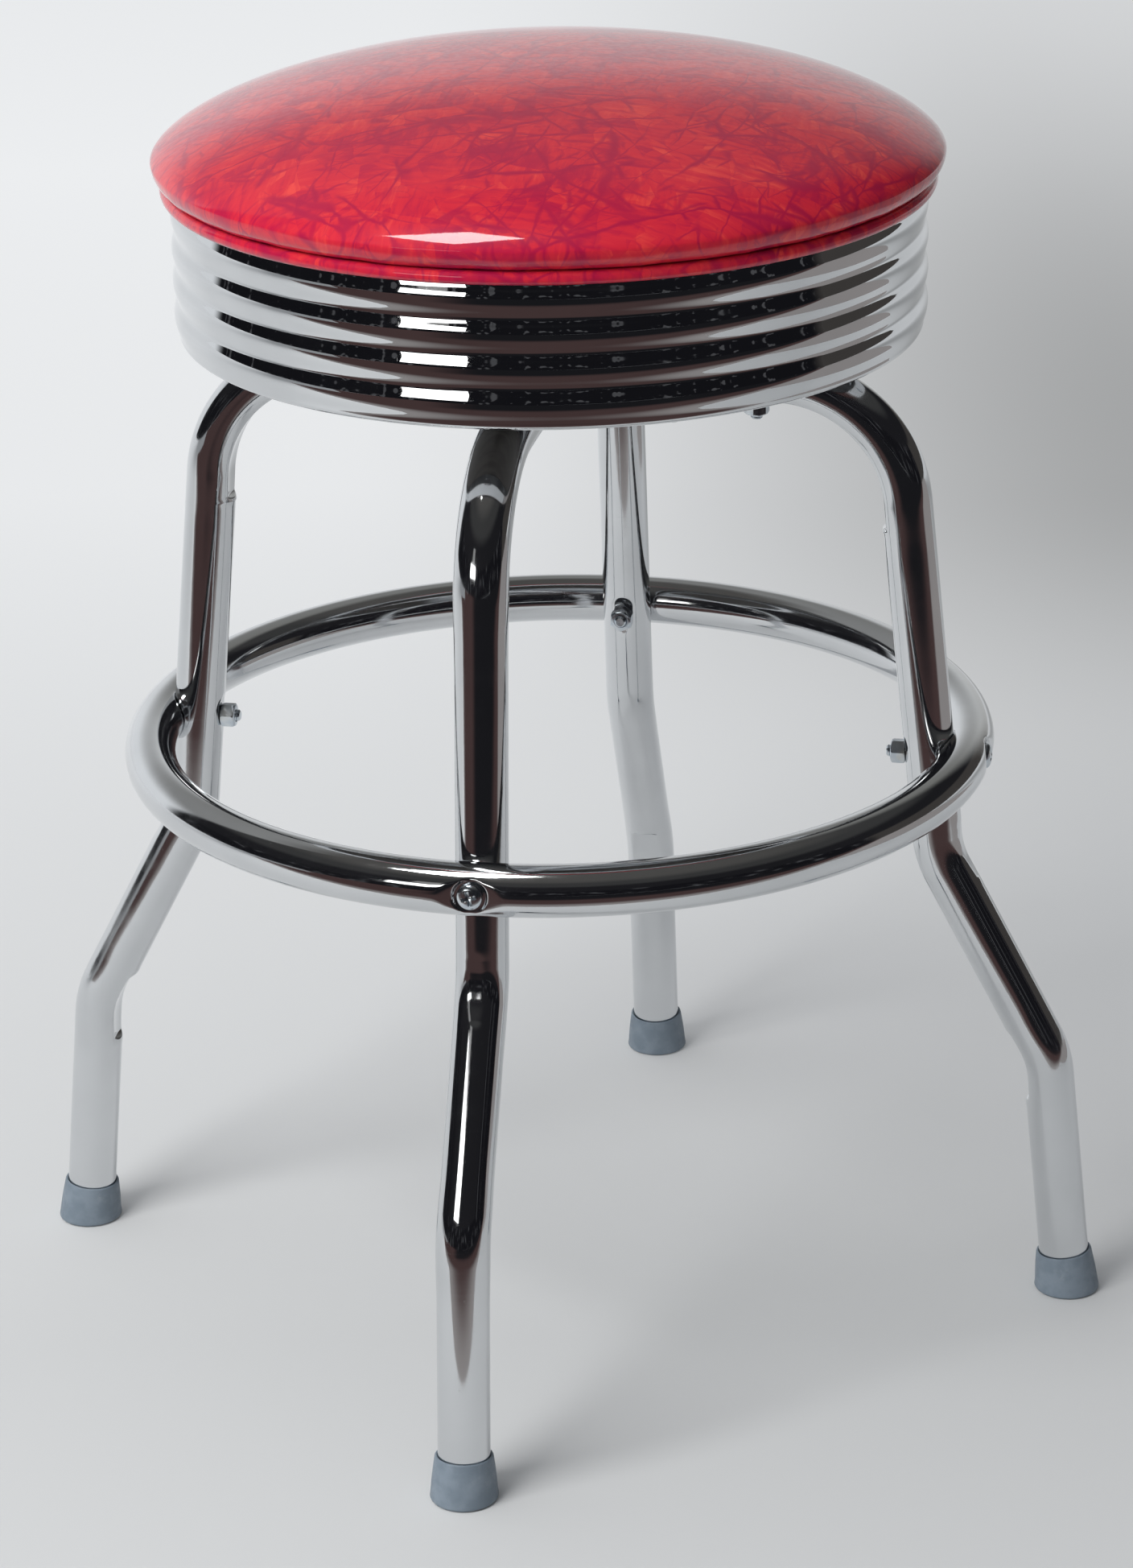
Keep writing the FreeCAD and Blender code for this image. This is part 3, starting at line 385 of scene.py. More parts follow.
def ball_material():
    """Polished bearing steel under a film of grease."""
    n = Nodes("bearing_steel")
    film = n.span(n.noise(600.0, 3.0), 0.42, 0.62)
    colour = n.mix(film, (0.66, 0.67, 0.69), (0.50, 0.44, 0.34))
    roughness = n.span(film, 0.0, 1.0, 0.06, 0.24)
    return n.finish(Base_Color=colour, Metallic=1.0, Roughness=roughness,
                    Normal=n.bump(n.noise(900.0, 2.0), 0.1, 0.00003))


def rubber_material():
    """Grey moulded rubber with a dusty film."""
    n = Nodes("grey_rubber")
    mottled = n.mix(n.span(n.noise(110.0, 4.0), 0.35, 0.65), (0.165, 0.205, 0.245), (0.205, 0.248, 0.292))
    dust = n.span(n.noise(60.0, 6.0, 0.7), 0.55, 0.72)
    colour = n.mix(n.times(dust, 0.35), mottled, (0.38, 0.41, 0.43))
    roughness = n.span(n.noise(400.0, 3.0), 0.3, 0.7, 0.42, 0.60)
    skin_grain = n.bump(n.noise(1600.0, 2.0), 0.25, 0.00006)
    moulded = n.bump(n.noise(150.0, 2.0), 0.2, 0.0002, skin_grain)
    return n.finish(Base_Color=colour, Roughness=roughness, Normal=moulded, Specular_IOR_Level=0.45)


def plywood_material():
    """Plywood stained black, its grain and plies still showing."""
    n = Nodes("black_plywood")
    grain_place = n.stretched((10.0, 160.0, 30.0))
    grain = n.noise(1.0, 5.0, 0.6, grain_place, 0.8)
    pores = n.span(n.noise(1.0, 2.0, 0.5, n.stretched((60.0, 1500.0, 60.0))), 0.60, 0.72)
    height = n.add("ShaderNodeSeparateXYZ", {"Vector": n.place}).outputs["Z"]
    plies = n.math("SINE", n.times(height, 2.0 * math.pi / 0.0028), 0.0)
    wood = n.mix(n.span(grain, 0.35, 0.65), (0.050, 0.045, 0.042), (0.085, 0.078, 0.072))
    wood = n.mix(n.times(pores, 0.5), wood, (0.024, 0.022, 0.021))
    wood = n.mix(n.span(plies, 0.2, 0.8, 0.0, 0.35), wood, (0.038, 0.032, 0.028))
    return n.finish(Base_Color=wood, Roughness=n.span(grain, 0.3, 0.7, 0.5, 0.7),
                    Normal=n.bump(grain, 0.3, 0.0003))


def foam_material():
    """Open cell seat foam."""
    n = Nodes("seat_foam")
    cells = n.add("ShaderNodeTexVoronoi", {"Vector": n.place, "Scale": 900.0})
    depth = n.span(cells.outputs["Distance"], 0.1, 0.7)
    patches = n.span(n.noise(25.0, 3.0), 0.35, 0.65)
    foam = n.mix(patches, (0.80, 0.70, 0.42), (0.88, 0.80, 0.56))
    foam = n.mix(n.times(depth, 0.4), foam, (0.58, 0.48, 0.25))
    return n.finish(Base_Color=foam, Roughness=0.9, Normal=n.bump(depth, 0.6, 0.0004))


def backing_material():
    """The dark knitted cloth on the back of the vinyl."""
    n = Nodes("vinyl_backing")
    courses = n.noise(1.0, 2.0, 0.5, n.stretched((900.0, 900.0, 900.0)))
    worn = n.span(n.noise(30.0, 4.0), 0.4, 0.65)
    cloth = n.mix(worn, (0.040, 0.041, 0.044), (0.075, 0.076, 0.080))
    return n.finish(Base_Color=cloth, Roughness=0.9, Normal=n.bump(courses, 0.5, 0.0003))


vinyl = vinyl_material()
backing = backing_material()
chrome = chrome_material("chrome_tube", 0.07, 0.13)
band_chrome = chrome_material("chrome_band_plate", 0.02, 0.065)
zinc = zinc_material()
plated_sheet = plate_material()
ball_steel = ball_material()
rubber = rubber_material()
plywood = plywood_material()
foam = foam_material()

CARRIED_OVER = {
    "swivel_bottom_plate": plated_sheet, "swivel_top_plate": plated_sheet, "ball_cage": plated_sheet,
    "bearing_balls": ball_steel, "centre_rivet": zinc, "rivet_washer": zinc, "top_plate_screws": zinc,
    "band_screws": zinc, "cover_staples": zinc, "seat_board": plywood,
}
for node, material in CARRIED_OVER.items():
    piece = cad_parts[node]
    piece.data.materials.clear()
    piece.data.materials.append(material)

# ------ seat

DOME_EDGE = 0.595                   # height of the seat's widest part
DOME_POWER = 2.15
DOME_ROOT = 1.462
ROLL_WIDTH = 0.0102                 # the underside rolls in by this much
ROLL_HEIGHT = 0.0104
COVER_SHEET = 0.001
SKIRT_RADIUS = 0.181
HEM_INNER = 0.160
HEM_FACE_RADIUS = 0.179
FOAM_INSET = 0.0012
FOAM_SEGMENTS = 160
LIP_ROUND = 0.0034
HEM_SHEET = 0.0009
HEM_ROUND = 0.0020
SKIRT_HEIGHTS = [0.56, 0.53]
PUCKER = 0.00012                    # waviness along the lower edge
SWELL = 0.0003                      # unevenness of the dome


def dome_profile(inset, steps=56):
    """Crown, edge and rolled underside of the dome, from the axis outward."""
    points = []
    height = DOME_TOP - DOME_EDGE
    for turn in np.linspace(0.0, 0.5 * math.pi, steps + 1):
        radius = CUSHION_RADIUS * math.sin(turn) ** (2.0 / DOME_POWER)
        points.append((radius, DOME_EDGE + height * math.cos(turn) ** (2.0 / DOME_ROOT)))
    for turn in np.linspace(0.0, 0.5 * math.pi, steps // 3 + 1)[1:]:
        points.append((CUSHION_RADIUS - ROLL_WIDTH * (1.0 - math.cos(turn)),
                       DOME_EDGE - ROLL_HEIGHT * math.sin(turn)))
    if not inset:
        return points
    line = np.array(points)
    along = np.gradient(line, axis=0)
    along /= np.linalg.norm(along, axis=1)[:, None]
    inward = np.column_stack([along[:, 1], -along[:, 0]])
    line = line + inset * inward
    line[0, 0] = 0.0
    return [tuple(point) for point in line]


def seat_cushion():
    """The vinyl: dome, roll, skirt down inside the band and hem under the board."""
    low = cover_low.z
    hem_top = low + HEM_SHEET
    under_roll = DOME_EDGE - ROLL_HEIGHT
    inner_side = SKIRT_RADIUS - COVER_SHEET
    outside = dome_profile(0.0)
    inside = dome_profile(COVER_SHEET)
    outer = [(SKIRT_RADIUS, height) for height in (under_roll, *SKIRT_HEIGHTS, low + HEM_ROUND)]
    outer += [(SKIRT_RADIUS - 0.3 * HEM_ROUND, low + 0.3 * HEM_ROUND), (SKIRT_RADIUS - HEM_ROUND, low),
              (0.5 * (SKIRT_RADIUS + HEM_INNER), low), (HEM_INNER, low)]
    inner = [(HEM_INNER, hem_top), (SKIRT_RADIUS - 0.6 * HEM_ROUND, hem_top)]
    inner += [(inner_side, height) for height in (*SKIRT_HEIGHTS[::-1], under_roll + COVER_SHEET)]
    points, faces = lathe(outside + outer + inner + inside[::-1])
    around = np.arctan2(points[:, 1], points[:, 0])
    radius = np.hypot(points[:, 0], points[:, 1])
    low_edge = smooth_step(points[:, 2], 0.603, 0.590) * smooth_step(radius, 0.178, 0.186)
    pucker = np.sin(23.0 * around + 0.7) + 0.7 * np.sin(41.0 * around + 2.1) + 0.5 * np.sin(67.0 * around)
    points[:, 2] += PUCKER * low_edge * pucker
    swell = np.sin(2.0 * around + 0.4) + 0.6 * np.sin(3.0 * around + 1.9)
    points[:, 2] += SWELL * swell * smooth_step(radius, 0.02, 0.14) * smooth_step(radius, 0.190, 0.150)
    cushion = new_piece("seat_cushion", (points, faces), vinyl, "seat",
                        "seat_cover", sharp_angle=50)
    cushion.data.materials.append(backing)
    for face in cushion.data.polygons:      # the hem is turned over, so it shows its cloth
        if face.center.z < hem_top + 0.0002 and math.hypot(face.center.x, face.center.y) < HEM_FACE_RADIUS:
            face.material_index = 1


def foam_core():
    """The foam under the vinyl."""
    side = SKIRT_RADIUS - FOAM_INSET
    top = dome_profile(FOAM_INSET)
    profile = top + [(side, DOME_EDGE - ROLL_HEIGHT), (side, 0.55), (side, board_high.z), (0.0, board_high.z)]
    core = new_piece("foam_core", lathe(profile, FOAM_SEGMENTS), foam, "seat", "foam_pad",
                     sharp_angle=50)


def vinyl_lip():
    """The lower roll of vinyl, between the groove and the band."""
    middle = 0.5 * (lip_low.z + lip_high.z)
    half = 0.5 * (lip_high.z - lip_low.z)
    inner = SKIRT_RADIUS + 0.0002
    flat = lip_high.x - LIP_ROUND
    profile = [(inner, lip_low.z), (flat, lip_low.z)]
    for turn in np.linspace(-0.5 * math.pi, 0.5 * math.pi, 25):
        profile.append((flat + LIP_ROUND * abs(math.cos(turn)) ** 0.9, middle + half * math.sin(turn)))
    profile += [(inner, lip_high.z)]
    new_piece("vinyl_lip", lathe(profile, closed=True), vinyl, "seat", "seat_lip",
              sharp_angle=60)


RIB_PITCH = 0.0166
RIB_DEPTH = 0.0017
RIB_ROUNDNESS = 1.45
BAND_RINGS = 84
RIB_GROOVE = 0.1822
FIRST_GROOVE = 0.5281
BAND_SHEET = 0.0008
BAND_CORNER = 0.0032
FLANGE_INNER = 0.168
FLANGE_MIDDLE = 0.174


def rib_bulge(height):
    """How far the band stands out from its grooves at a height."""
    if height < FIRST_GROOVE:
        start = band_low.z + BAND_CORNER
        share = (height - start) / (FIRST_GROOVE - start)
    else:
        share = ((height - FIRST_GROOVE) / RIB_PITCH) % 1.0
    return RIB_DEPTH * abs(math.sin(math.pi * share)) ** RIB_ROUNDNESS


def ribbed_band():
    """Sheet metal ring with four ribs, rolled in to a flange at the bottom."""
    low = band_low.z
    top = FIRST_GROOVE + 3.0 * RIB_PITCH
    heights = np.linspace(low + BAND_CORNER, top - 0.0001, BAND_RINGS)
    inner_corner = BAND_CORNER - BAND_SHEET
    corner_turns = np.linspace(0.0, 0.5 * math.pi, 9)

    def corner(radius, turn):
        return (RIB_GROOVE - BAND_CORNER + radius * math.sin(turn),
                low + BAND_CORNER - radius * math.cos(turn))

    outside = [(FLANGE_INNER, low), (FLANGE_MIDDLE, low)]
    outside += [corner(BAND_CORNER, turn) for turn in corner_turns]
    outside += [(RIB_GROOVE + rib_bulge(height), height) for height in heights[1:]]
    inside = [(RIB_GROOVE - BAND_SHEET + rib_bulge(height), height) for height in heights[::-1]]
    inside += [corner(inner_corner, turn) for turn in corner_turns[-2::-1]]
    inside += [(FLANGE_MIDDLE, low + BAND_SHEET), (FLANGE_INNER, low + BAND_SHEET)]
    new_piece("ribbed_band", lathe(outside + inside, closed=True), band_chrome, "seat",
              "chrome_band", sharp_angle=50)


# ------ leg frames

TOP_RUN = 0.110
TOP_BEND = 0.066
KNEE_BEND = 0.052
FOOT_BEND = 0.052
UPPER_SLOPE = math.radians(84.5)
MIDDLE_SLOPE = math.radians(62.2)
LOWER_SLOPE = math.radians(84.6)
UPPER_RUN = 0.176
MIDDLE_RUN = 0.1004
TUBE_END = frame_low.z
LAP_HALF_LENGTH = 0.014             # the frames are half tubes where they cross
LAP_RAMP = 0.010
LAP_GAP = 0.0001
LAP_ROUNDING = 0.0002
TUBE_SEGMENTS = 96


class LegLine:
    """The centreline of half a frame, from the swivel axis out and down."""

    def __init__(self):
        self.spans = []             # length so far, radius, height, slope, curvature
        self.length = 0.0
        self.radius = 0.0
        self.height = FRAME_HEIGHT
        self.slope = 0.0
        self.run(TOP_RUN)
        self.top = self.bend(UPPER_SLOPE, TOP_BEND)
        self.run(UPPER_RUN)
        self.knee = self.bend(MIDDLE_SLOPE, KNEE_BEND)
        self.run(MIDDLE_RUN)
        self.foot = self.bend(LOWER_SLOPE, FOOT_BEND)
        self.run((self.height - TUBE_END) / math.sin(LOWER_SLOPE))

    def add_span(self, length, curvature):
        self.spans.append((self.length, self.radius, self.height, self.slope, curvature))
        self.radius, self.height, self.slope = self.at(self.length + length)
        self.length += length

    def run(self, length):
        self.add_span(length, 0.0)

    def bend(self, slope, bend_radius):
        """Adds a bend and gives where it starts and ends."""
        start = self.length
        curvature = math.copysign(1.0 / bend_radius, slope - self.slope)
        self.add_span(abs(slope - self.slope) * bend_radius, curvature)
        return start, self.length

    def at(self, length):
        """(radius, height, slope) at a distance along the line."""
        passed = [span for span in self.spans if span[0] <= length + 1e-12]
        start, radius, height, slope, curvature = passed[-1]
        gone = length - start
        if curvature == 0.0:
            return radius + gone * math.cos(slope), height - gone * math.sin(slope), slope
        later = slope + gone * curvature
        return (radius + (math.sin(later) - math.sin(slope)) / curvature,
                height + (math.cos(later) - math.cos(slope)) / curvature, later)

    def at_height(self, height):
        """Distance along the line where it comes down to a height."""
        low, high = self.top[1], self.length
        for _ in range(50):
            middle = 0.5 * (low + high)
            low, high = (middle, high) if self.at(middle)[1] > height else (low, middle)
        return low


leg_line = LegLine()

# Where the bending tool pressed the inside of each bend flat: start, end, the
# side (1 is the upper or outer side of the tube), depth and the length of the
# step at each end.
PRESSED = [
    (leg_line.top[0] - 0.006, leg_line.top[1] + 0.012, -1.0, 0.0028, 0.0024),
    (leg_line.knee[0] - 0.004, leg_line.knee[1] + 0.008, 1.0, 0.0006, 0.0160),
    (leg_line.foot[0] - 0.010, leg_line.foot[1] + 0.013, -1.0, 0.0027, 0.0034),
]
NUT_SEAT = nut_high.x               # distance of the ring nut's face from the axis
SEAT_DISH_LENGTH = 0.0115
SEAT_DISH_WIDTH = 0.0085
STATION_GAP = 0.00029
PRESS_ROUNDING = 0.0005
DISH_SHARE = 0.22                   # of the pressed depth, dished below the flat
WIDENING = 10.0                     # of the tube at a bend, for each metre of pressed depth
BEAD_HEIGHT = 0.00035               # the ridge that the tool raised beyond each step
BEAD_STEP = 0.0022


def leg_stations():
    """Distances along the line, closer together where the tube changes shape."""
    stations = list(np.arange(0.0, leg_line.length, 0.004)) + [leg_line.length]
    for start, end, _, _, step in PRESSED:
        stations += list(np.arange(start - 0.006, end + 0.006, 0.0012))
        for edge in (start, end):
            stations += list(np.arange(edge - 1.5 * step, edge + 1.5 * step, 0.0003))
    nut = leg_line.at_height(RING_HEIGHT)
    stations += list(np.arange(nut - 0.016, nut + 0.016, 0.0007))
    stations += list(np.arange(LAP_HALF_LENGTH - 0.001, LAP_HALF_LENGTH + 0.012, 0.0006))
    kept = [0.0]
    for value in sorted(stations):
        if value - kept[-1] >= STATION_GAP and value < leg_line.length - STATION_GAP:
            kept.append(value)
    return kept + [leg_line.length]


def leg_section(length, lap_side):
    """The tube's section at a distance along the line: offsets across the
    bend's plane and along it, towards the tube's upper or outer side."""
    turn = turns(TUBE_SEGMENTS)
    outward = TUBE_RADIUS * np.cos(turn)
    across = TUBE_RADIUS * np.sin(turn)
    for start, end, side, depth, step in PRESSED:
        share = smooth_step(length, start - 0.5 * step, start + 0.5 * step)
        share = share * smooth_step(length, end + 0.5 * step, end - 0.5 * step)
        middle = 0.5 * (start + end)
        share = share * (1.0 - 0.25 * (2.0 * (length - middle) / (end - start)) ** 2)
        if share > 1e-4:
            flat = TUBE_RADIUS - depth * share
            inner = soft_minimum(side * outward, flat, PRESS_ROUNDING)
            half_width = math.sqrt(max(TUBE_RADIUS ** 2 - flat ** 2, 1e-9))
            dish = DISH_SHARE * depth * share * np.clip(1.0 - (across / half_width) ** 2, 0.0, 1.0)
            inner = np.where(side * outward > 0.0, inner - dish, inner)
            fade = smooth_step(share, 0.0, 0.35)
            outward = outward + fade * (side * inner - outward)
        swell = smooth_step(length, start - 0.012, start + 0.012)
        swell = swell * smooth_step(length, end + 0.012, end - 0.012)
        across = across * (1.0 + WIDENING * swell * depth)
        for edge, beyond in ((start, -1.0), (end, 1.0)):
            bead = math.exp(-((length - edge - beyond * 0.9 * step) / (0.45 * step)) ** 2)
            tall = BEAD_HEIGHT * min(BEAD_STEP / step, 1.0) ** 2
            outward = outward + side * tall * bead * np.clip(side * np.cos(turn), 0.0, 1.0) ** 3
    limit = TUBE_RADIUS * (2.0 * smooth_step(length, LAP_HALF_LENGTH, LAP_HALF_LENGTH + LAP_RAMP) - 1.0)
    if limit < TUBE_RADIUS - 1e-6:
        keep = -0.5 * LAP_GAP if limit <= 0.0 else limit
        outward = lap_side * soft_maximum(lap_side * outward, -keep, LAP_ROUNDING)
    return outward, across


def leg_ring(length, lap_side):
    """One ring of points of a leg, in the plane y = 0 with the leg at +X."""
    radius, height, slope = leg_line.at(length)
    outward, across = leg_section(length, lap_side)
    x = radius + outward * math.sin(slope)
    z = height + outward * math.cos(slope)
    points = np.column_stack([x, across, z])
    if abs(height - RING_HEIGHT) < 0.02:
        inner_side = points[:, 0] < radius
        gap = ((points[:, 2] - RING_HEIGHT) / SEAT_DISH_LENGTH) ** 2 + (points[:, 1] / SEAT_DISH_WIDTH) ** 2
        share = smooth_step(gap, 1.0, 0.45)
        floor = NUT_SEAT + 0.0001
        dished = soft_maximum(points[:, 0], floor, 0.0003)
        points[:, 0] = np.where(inner_side, points[:, 0] + share * (dished - points[:, 0]), points[:, 0])
    return points


def leg_tube(name, node, direction, lap_side):
    """A whole frame: one bent tube with a leg at each end."""
    half = [leg_ring(length, lap_side) for length in leg_stations()]
    other = [ring * np.array([-1.0, 1.0, 1.0]) for ring in half[:0:-1]]
    rings = other + half
    ends = [rings[0].mean(axis=0)[None, :], rings[-1].mean(axis=0)[None, :]]
    part = skin([ends[0]] + rings + [ends[1]])
    part = moved(part, Matrix.Rotation(direction, 4, "Z"))
    new_piece(name, part, chrome, "base", node, sharp_angle=60)


# ------ foot ring

RING_SECTION = 80
SADDLE_RADIUS = TUBE_RADIUS + 0.00025
SADDLE_ROUNDING = 0.0007
HEAD_SEAT = 0.2156                  # distance of the screw head's face from the axis
DENT_HALF_LENGTH = 0.021
DENT_FLOOR = 0.2168
DENT_RISE = 0.0030                  # of its floor towards its two ends
DENT_ROUNDING = 0.0005
RECESS_RADIUS = 0.0083
ANGLE_GAP = math.radians(0.12)
NEST_ANGLE = math.radians(11.0)     # the ring keeps its round section beyond this, from a leg


def ring_angles():
    """Angles around the ring, closer together at the legs."""
    angles = list(np.radians(np.arange(0.0, 360.0, 1.0)))
    for direction in LEG_DIRECTIONS:
        angles += list(direction + np.radians(np.arange(-11.0, 11.0, 0.16)))
    kept = []
    for angle in sorted(np.mod(angles, 2.0 * math.pi)):
        if not kept or angle - kept[-1] >= ANGLE_GAP:
            kept.append(angle)
    if kept[0] + 2.0 * math.pi - kept[-1] < ANGLE_GAP:
        kept.pop()
    return kept


def nearest_leg(angle):
    return min(LEG_DIRECTIONS + [2.0 * math.pi], key=lambda direction: abs(direction - angle))


def pressed_ring_points(points):
    """Presses points of the ring, given in a leg's own frame (leg at +X),
    around the leg's tube and in under the screw's head."""
    side = np.abs(points[:, 1])
    leg_x, leg_z, slope = leg_line.at(leg_line.at_height(RING_HEIGHT))
    along = np.array([math.cos(slope), 0.0, -math.sin(slope)])
    centre = np.array([leg_x, 0.0, leg_z])
    offset = points - centre
    axial = offset @ along
    radial = offset - np.outer(axial, along)
    distance = np.linalg.norm(radial, axis=1)
    wanted = soft_maximum(distance, SADDLE_RADIUS, SADDLE_ROUNDING)
    radial = radial * (wanted / np.maximum(distance, 1e-6))[:, None]
    points = centre + np.outer(axial, along) + radial
    plane = DENT_FLOOR + DENT_RISE * smooth_step(side, 0.003, DENT_HALF_LENGTH)
    share = smooth_step(side, DENT_HALF_LENGTH + 0.002, DENT_HALF_LENGTH - 0.006)
    outer = points[:, 0] > RING_RADIUS
    reach = np.hypot(points[:, 0], points[:, 1])
    clipped = soft_minimum(reach, plane, DENT_ROUNDING)
    from_screw = np.hypot(points[:, 1], points[:, 2] - RING_HEIGHT)
    recess = smooth_step(from_screw, RECESS_RADIUS + 0.0006, RECESS_RADIUS - 0.0005)
    clipped = clipped + recess * (np.minimum(clipped, HEAD_SEAT) - clipped)
    factor = np.where(outer, 1.0 + share * (clipped / reach - 1.0), 1.0)
    points[:, 0] *= factor
    points[:, 1] *= factor
    return points


def foot_ring():
    """The foot ring: nested on each leg and dented around each screw."""
    turn = turns(RING_SECTION)
    rings = []
    for angle in ring_angles():
        leg = nearest_leg(angle)
        reach = RING_RADIUS + TUBE_RADIUS * np.cos(turn)
        from_leg = angle - leg
        points = np.column_stack([reach * math.cos(from_leg), reach * math.sin(from_leg),
                                  RING_HEIGHT + TUBE_RADIUS * np.sin(turn)])
        if abs(from_leg) < NEST_ANGLE:
            points = pressed_ring_points(points)
        back = np.array(Matrix.Rotation(leg, 3, "Z"))
        rings.append(points @ back.T)
    new_piece("foot_ring_tube", skin(rings, closed=True), chrome, "base",
              "foot_ring", sharp_angle=60)


# ------ fasteners

THREAD_PITCH = 0.00127
THREAD_DEPTH = 0.00035
SCREW_RADIUS = 0.0031
FASTENER_TURNS = turns(72)
TIP_CHAMFER = 0.0009
HEX_FLATS = 0.0111
SLOT_SIDE = (0.00092, 0.00066)      # from the cross's middle line: rim and floor of its side
SLOT_END = (0.0037, 0.0030)
SLOT_DEPTH = 0.0027
SLOT_RISE = 0.42
NUT_CHAMFER = 0.0011
NUT_DOME = 0.0032
NUT_BORE = SCREW_RADIUS + 0.00005
CHAMFER_SLOPE = 1.5
HEAD_RADIUS = 0.0064
HEAD_EDGE = 0.0016
PLAIN_SHANK = 0.002                 # without a thread, under the head
PLAIN_BOLT = 0.020
BORE_CHAMFER = 0.0004
SCREW_TURNS = [0.35, 1.1, 0.7, 0.27]
SCREW_TIP_REACH = 0.1667            # distance of the ring screws' tips from the axis
NUT_HEIGHT = 0.0076


def outward_frame(direction, reach, height):
    """A frame whose Z axis points out from the swivel axis, in a direction."""
    turn = Matrix.Rotation(direction, 4, "Z") @ Matrix.Rotation(0.5 * math.pi, 4, "Y")
    turn.translation = (reach * math.cos(direction), reach * math.sin(direction), height)
    return turn


def fastener_ring(reach, height):
    return level_ring(reach, FASTENER_TURNS, height)


def thread_rings(start, end):
    """Rings of a threaded shank along Z, with a chamfered tip at start."""
    rings = []
    for height in np.arange(start, end, THREAD_PITCH / 8.0):
        phase = np.mod(height / THREAD_PITCH + FASTENER_TURNS / (2.0 * math.pi), 1.0)
        tooth = np.abs(2.0 * phase - 1.0)
        reach = SCREW_RADIUS - THREAD_DEPTH * tooth
        tip = SCREW_RADIUS - TIP_CHAMFER + (height - start)
        rings.append(fastener_ring(np.minimum(reach, tip), height))
    return rings


def pan_screw(head_height, shank_end):
    """A cross recess pan head screw.  Z = 0 is under its head, Z points out."""
    rings = [pole(shank_end)] + thread_rings(shank_end, -PLAIN_SHANK)
    rings.append(fastener_ring(SCREW_RADIUS, 0.0))
    rings.append(fastener_ring(HEAD_RADIUS - 0.0002, 0.0))
    rings.append(fastener_ring(HEAD_RADIUS, 0.0002))
    rings.append(fastener_ring(HEAD_RADIUS, 0.6 * HEAD_EDGE))
    for share in np.linspace(0.985, 0.02, 46):
        reach = HEAD_RADIUS * share
        crown = HEAD_EDGE * 0.75 + (head_height - 0.75 * HEAD_EDGE) * (1.0 - share ** 3.2) ** 0.62
        ring = fastener_ring(reach, crown)
        x, y = np.abs(ring[:, 0]), np.abs(ring[:, 1])
        depth = 0.0
        for along, beside in ((x, y), (y, x)):
            slot = smooth_step(beside, *SLOT_SIDE) * smooth_step(along, *SLOT_END)
            depth = np.maximum(depth, slot * (SLOT_DEPTH - SLOT_RISE * along))
        ring[:, 2] -= depth
        rings.append(ring)
    rings.append(pole(head_height - SLOT_DEPTH))
    return skin(rings)


def hex_reach(turn):
    """Distance from a hexagon's centre to its outline."""
    sixth = math.pi / 3.0
    return 0.5 * HEX_FLATS / np.cos(np.mod(turn, sixth) - 0.5 * sixth)


def hex_nut(height, rounded):
    """A nut standing on Z = 0 with both ends chamfered.  The end at Z =
    -height is domed where rounded is set."""
    corner = hex_reach(0.0)
    end_reach = 0.47 * HEX_FLATS
    rings = [fastener_ring(NUT_BORE, 0.0), fastener_ring(end_reach, 0.0)]
    dome_start = height - NUT_DOME
    for depth in [*np.linspace(0.0, NUT_CHAMFER, 8)[1:], *np.linspace(NUT_CHAMFER, dome_start, 4)[1:],
                  *np.linspace(dome_start, height, 16)[1:]]:
        left = height - depth
        if rounded:
            fallen = 1.0 - min(left / NUT_DOME, 1.0)
            last = end_reach - 0.0012 + 0.0030 * math.sqrt(max(1.0 - fallen ** 2, 0.0))
        else:
            last = end_reach + CHAMFER_SLOPE * left
        limit = min(end_reach + CHAMFER_SLOPE * depth, last, corner + 0.001)
        rings.append(fastener_ring(np.minimum(hex_reach(FASTENER_TURNS), limit), -depth))
    rings.append(fastener_ring(NUT_BORE + BORE_CHAMFER, -height))
    rings.append(fastener_ring(NUT_BORE, -height + BORE_CHAMFER))
    return skin(rings, closed=True)


def add_fasteners(name, copies, node, sharp_angle):
    new_piece(name, merge(copies), zinc, "base", node, sharp_angle)


def ring_fasteners():
    """The four screws of the foot ring and their nuts inside the legs."""
    shank_end = SCREW_TIP_REACH - HEAD_SEAT
    screw = pan_screw(screw_high.x - HEAD_SEAT, shank_end)
    nut = hex_nut(NUT_HEIGHT, rounded=True)
    screws, nuts = [], []
    for direction, turn in zip(LEG_DIRECTIONS, SCREW_TURNS):
        spin = Matrix.Rotation(turn, 4, "Z")
        screws.append(moved(screw, outward_frame(direction, HEAD_SEAT, RING_HEIGHT) @ spin))
        nuts.append(moved(nut, outward_frame(direction, NUT_SEAT, RING_HEIGHT) @ spin))
    add_fasteners("ring_pan_screws", screws, "ring_screws", 42)
    add_fasteners("ring_lock_nuts", nuts, "ring_nuts", 32)


BOLT_CIRCLE = 0.1016
BOLT_HEAD_RADIUS = 0.0065
BOLT_HEAD_HEIGHT = 0.0032


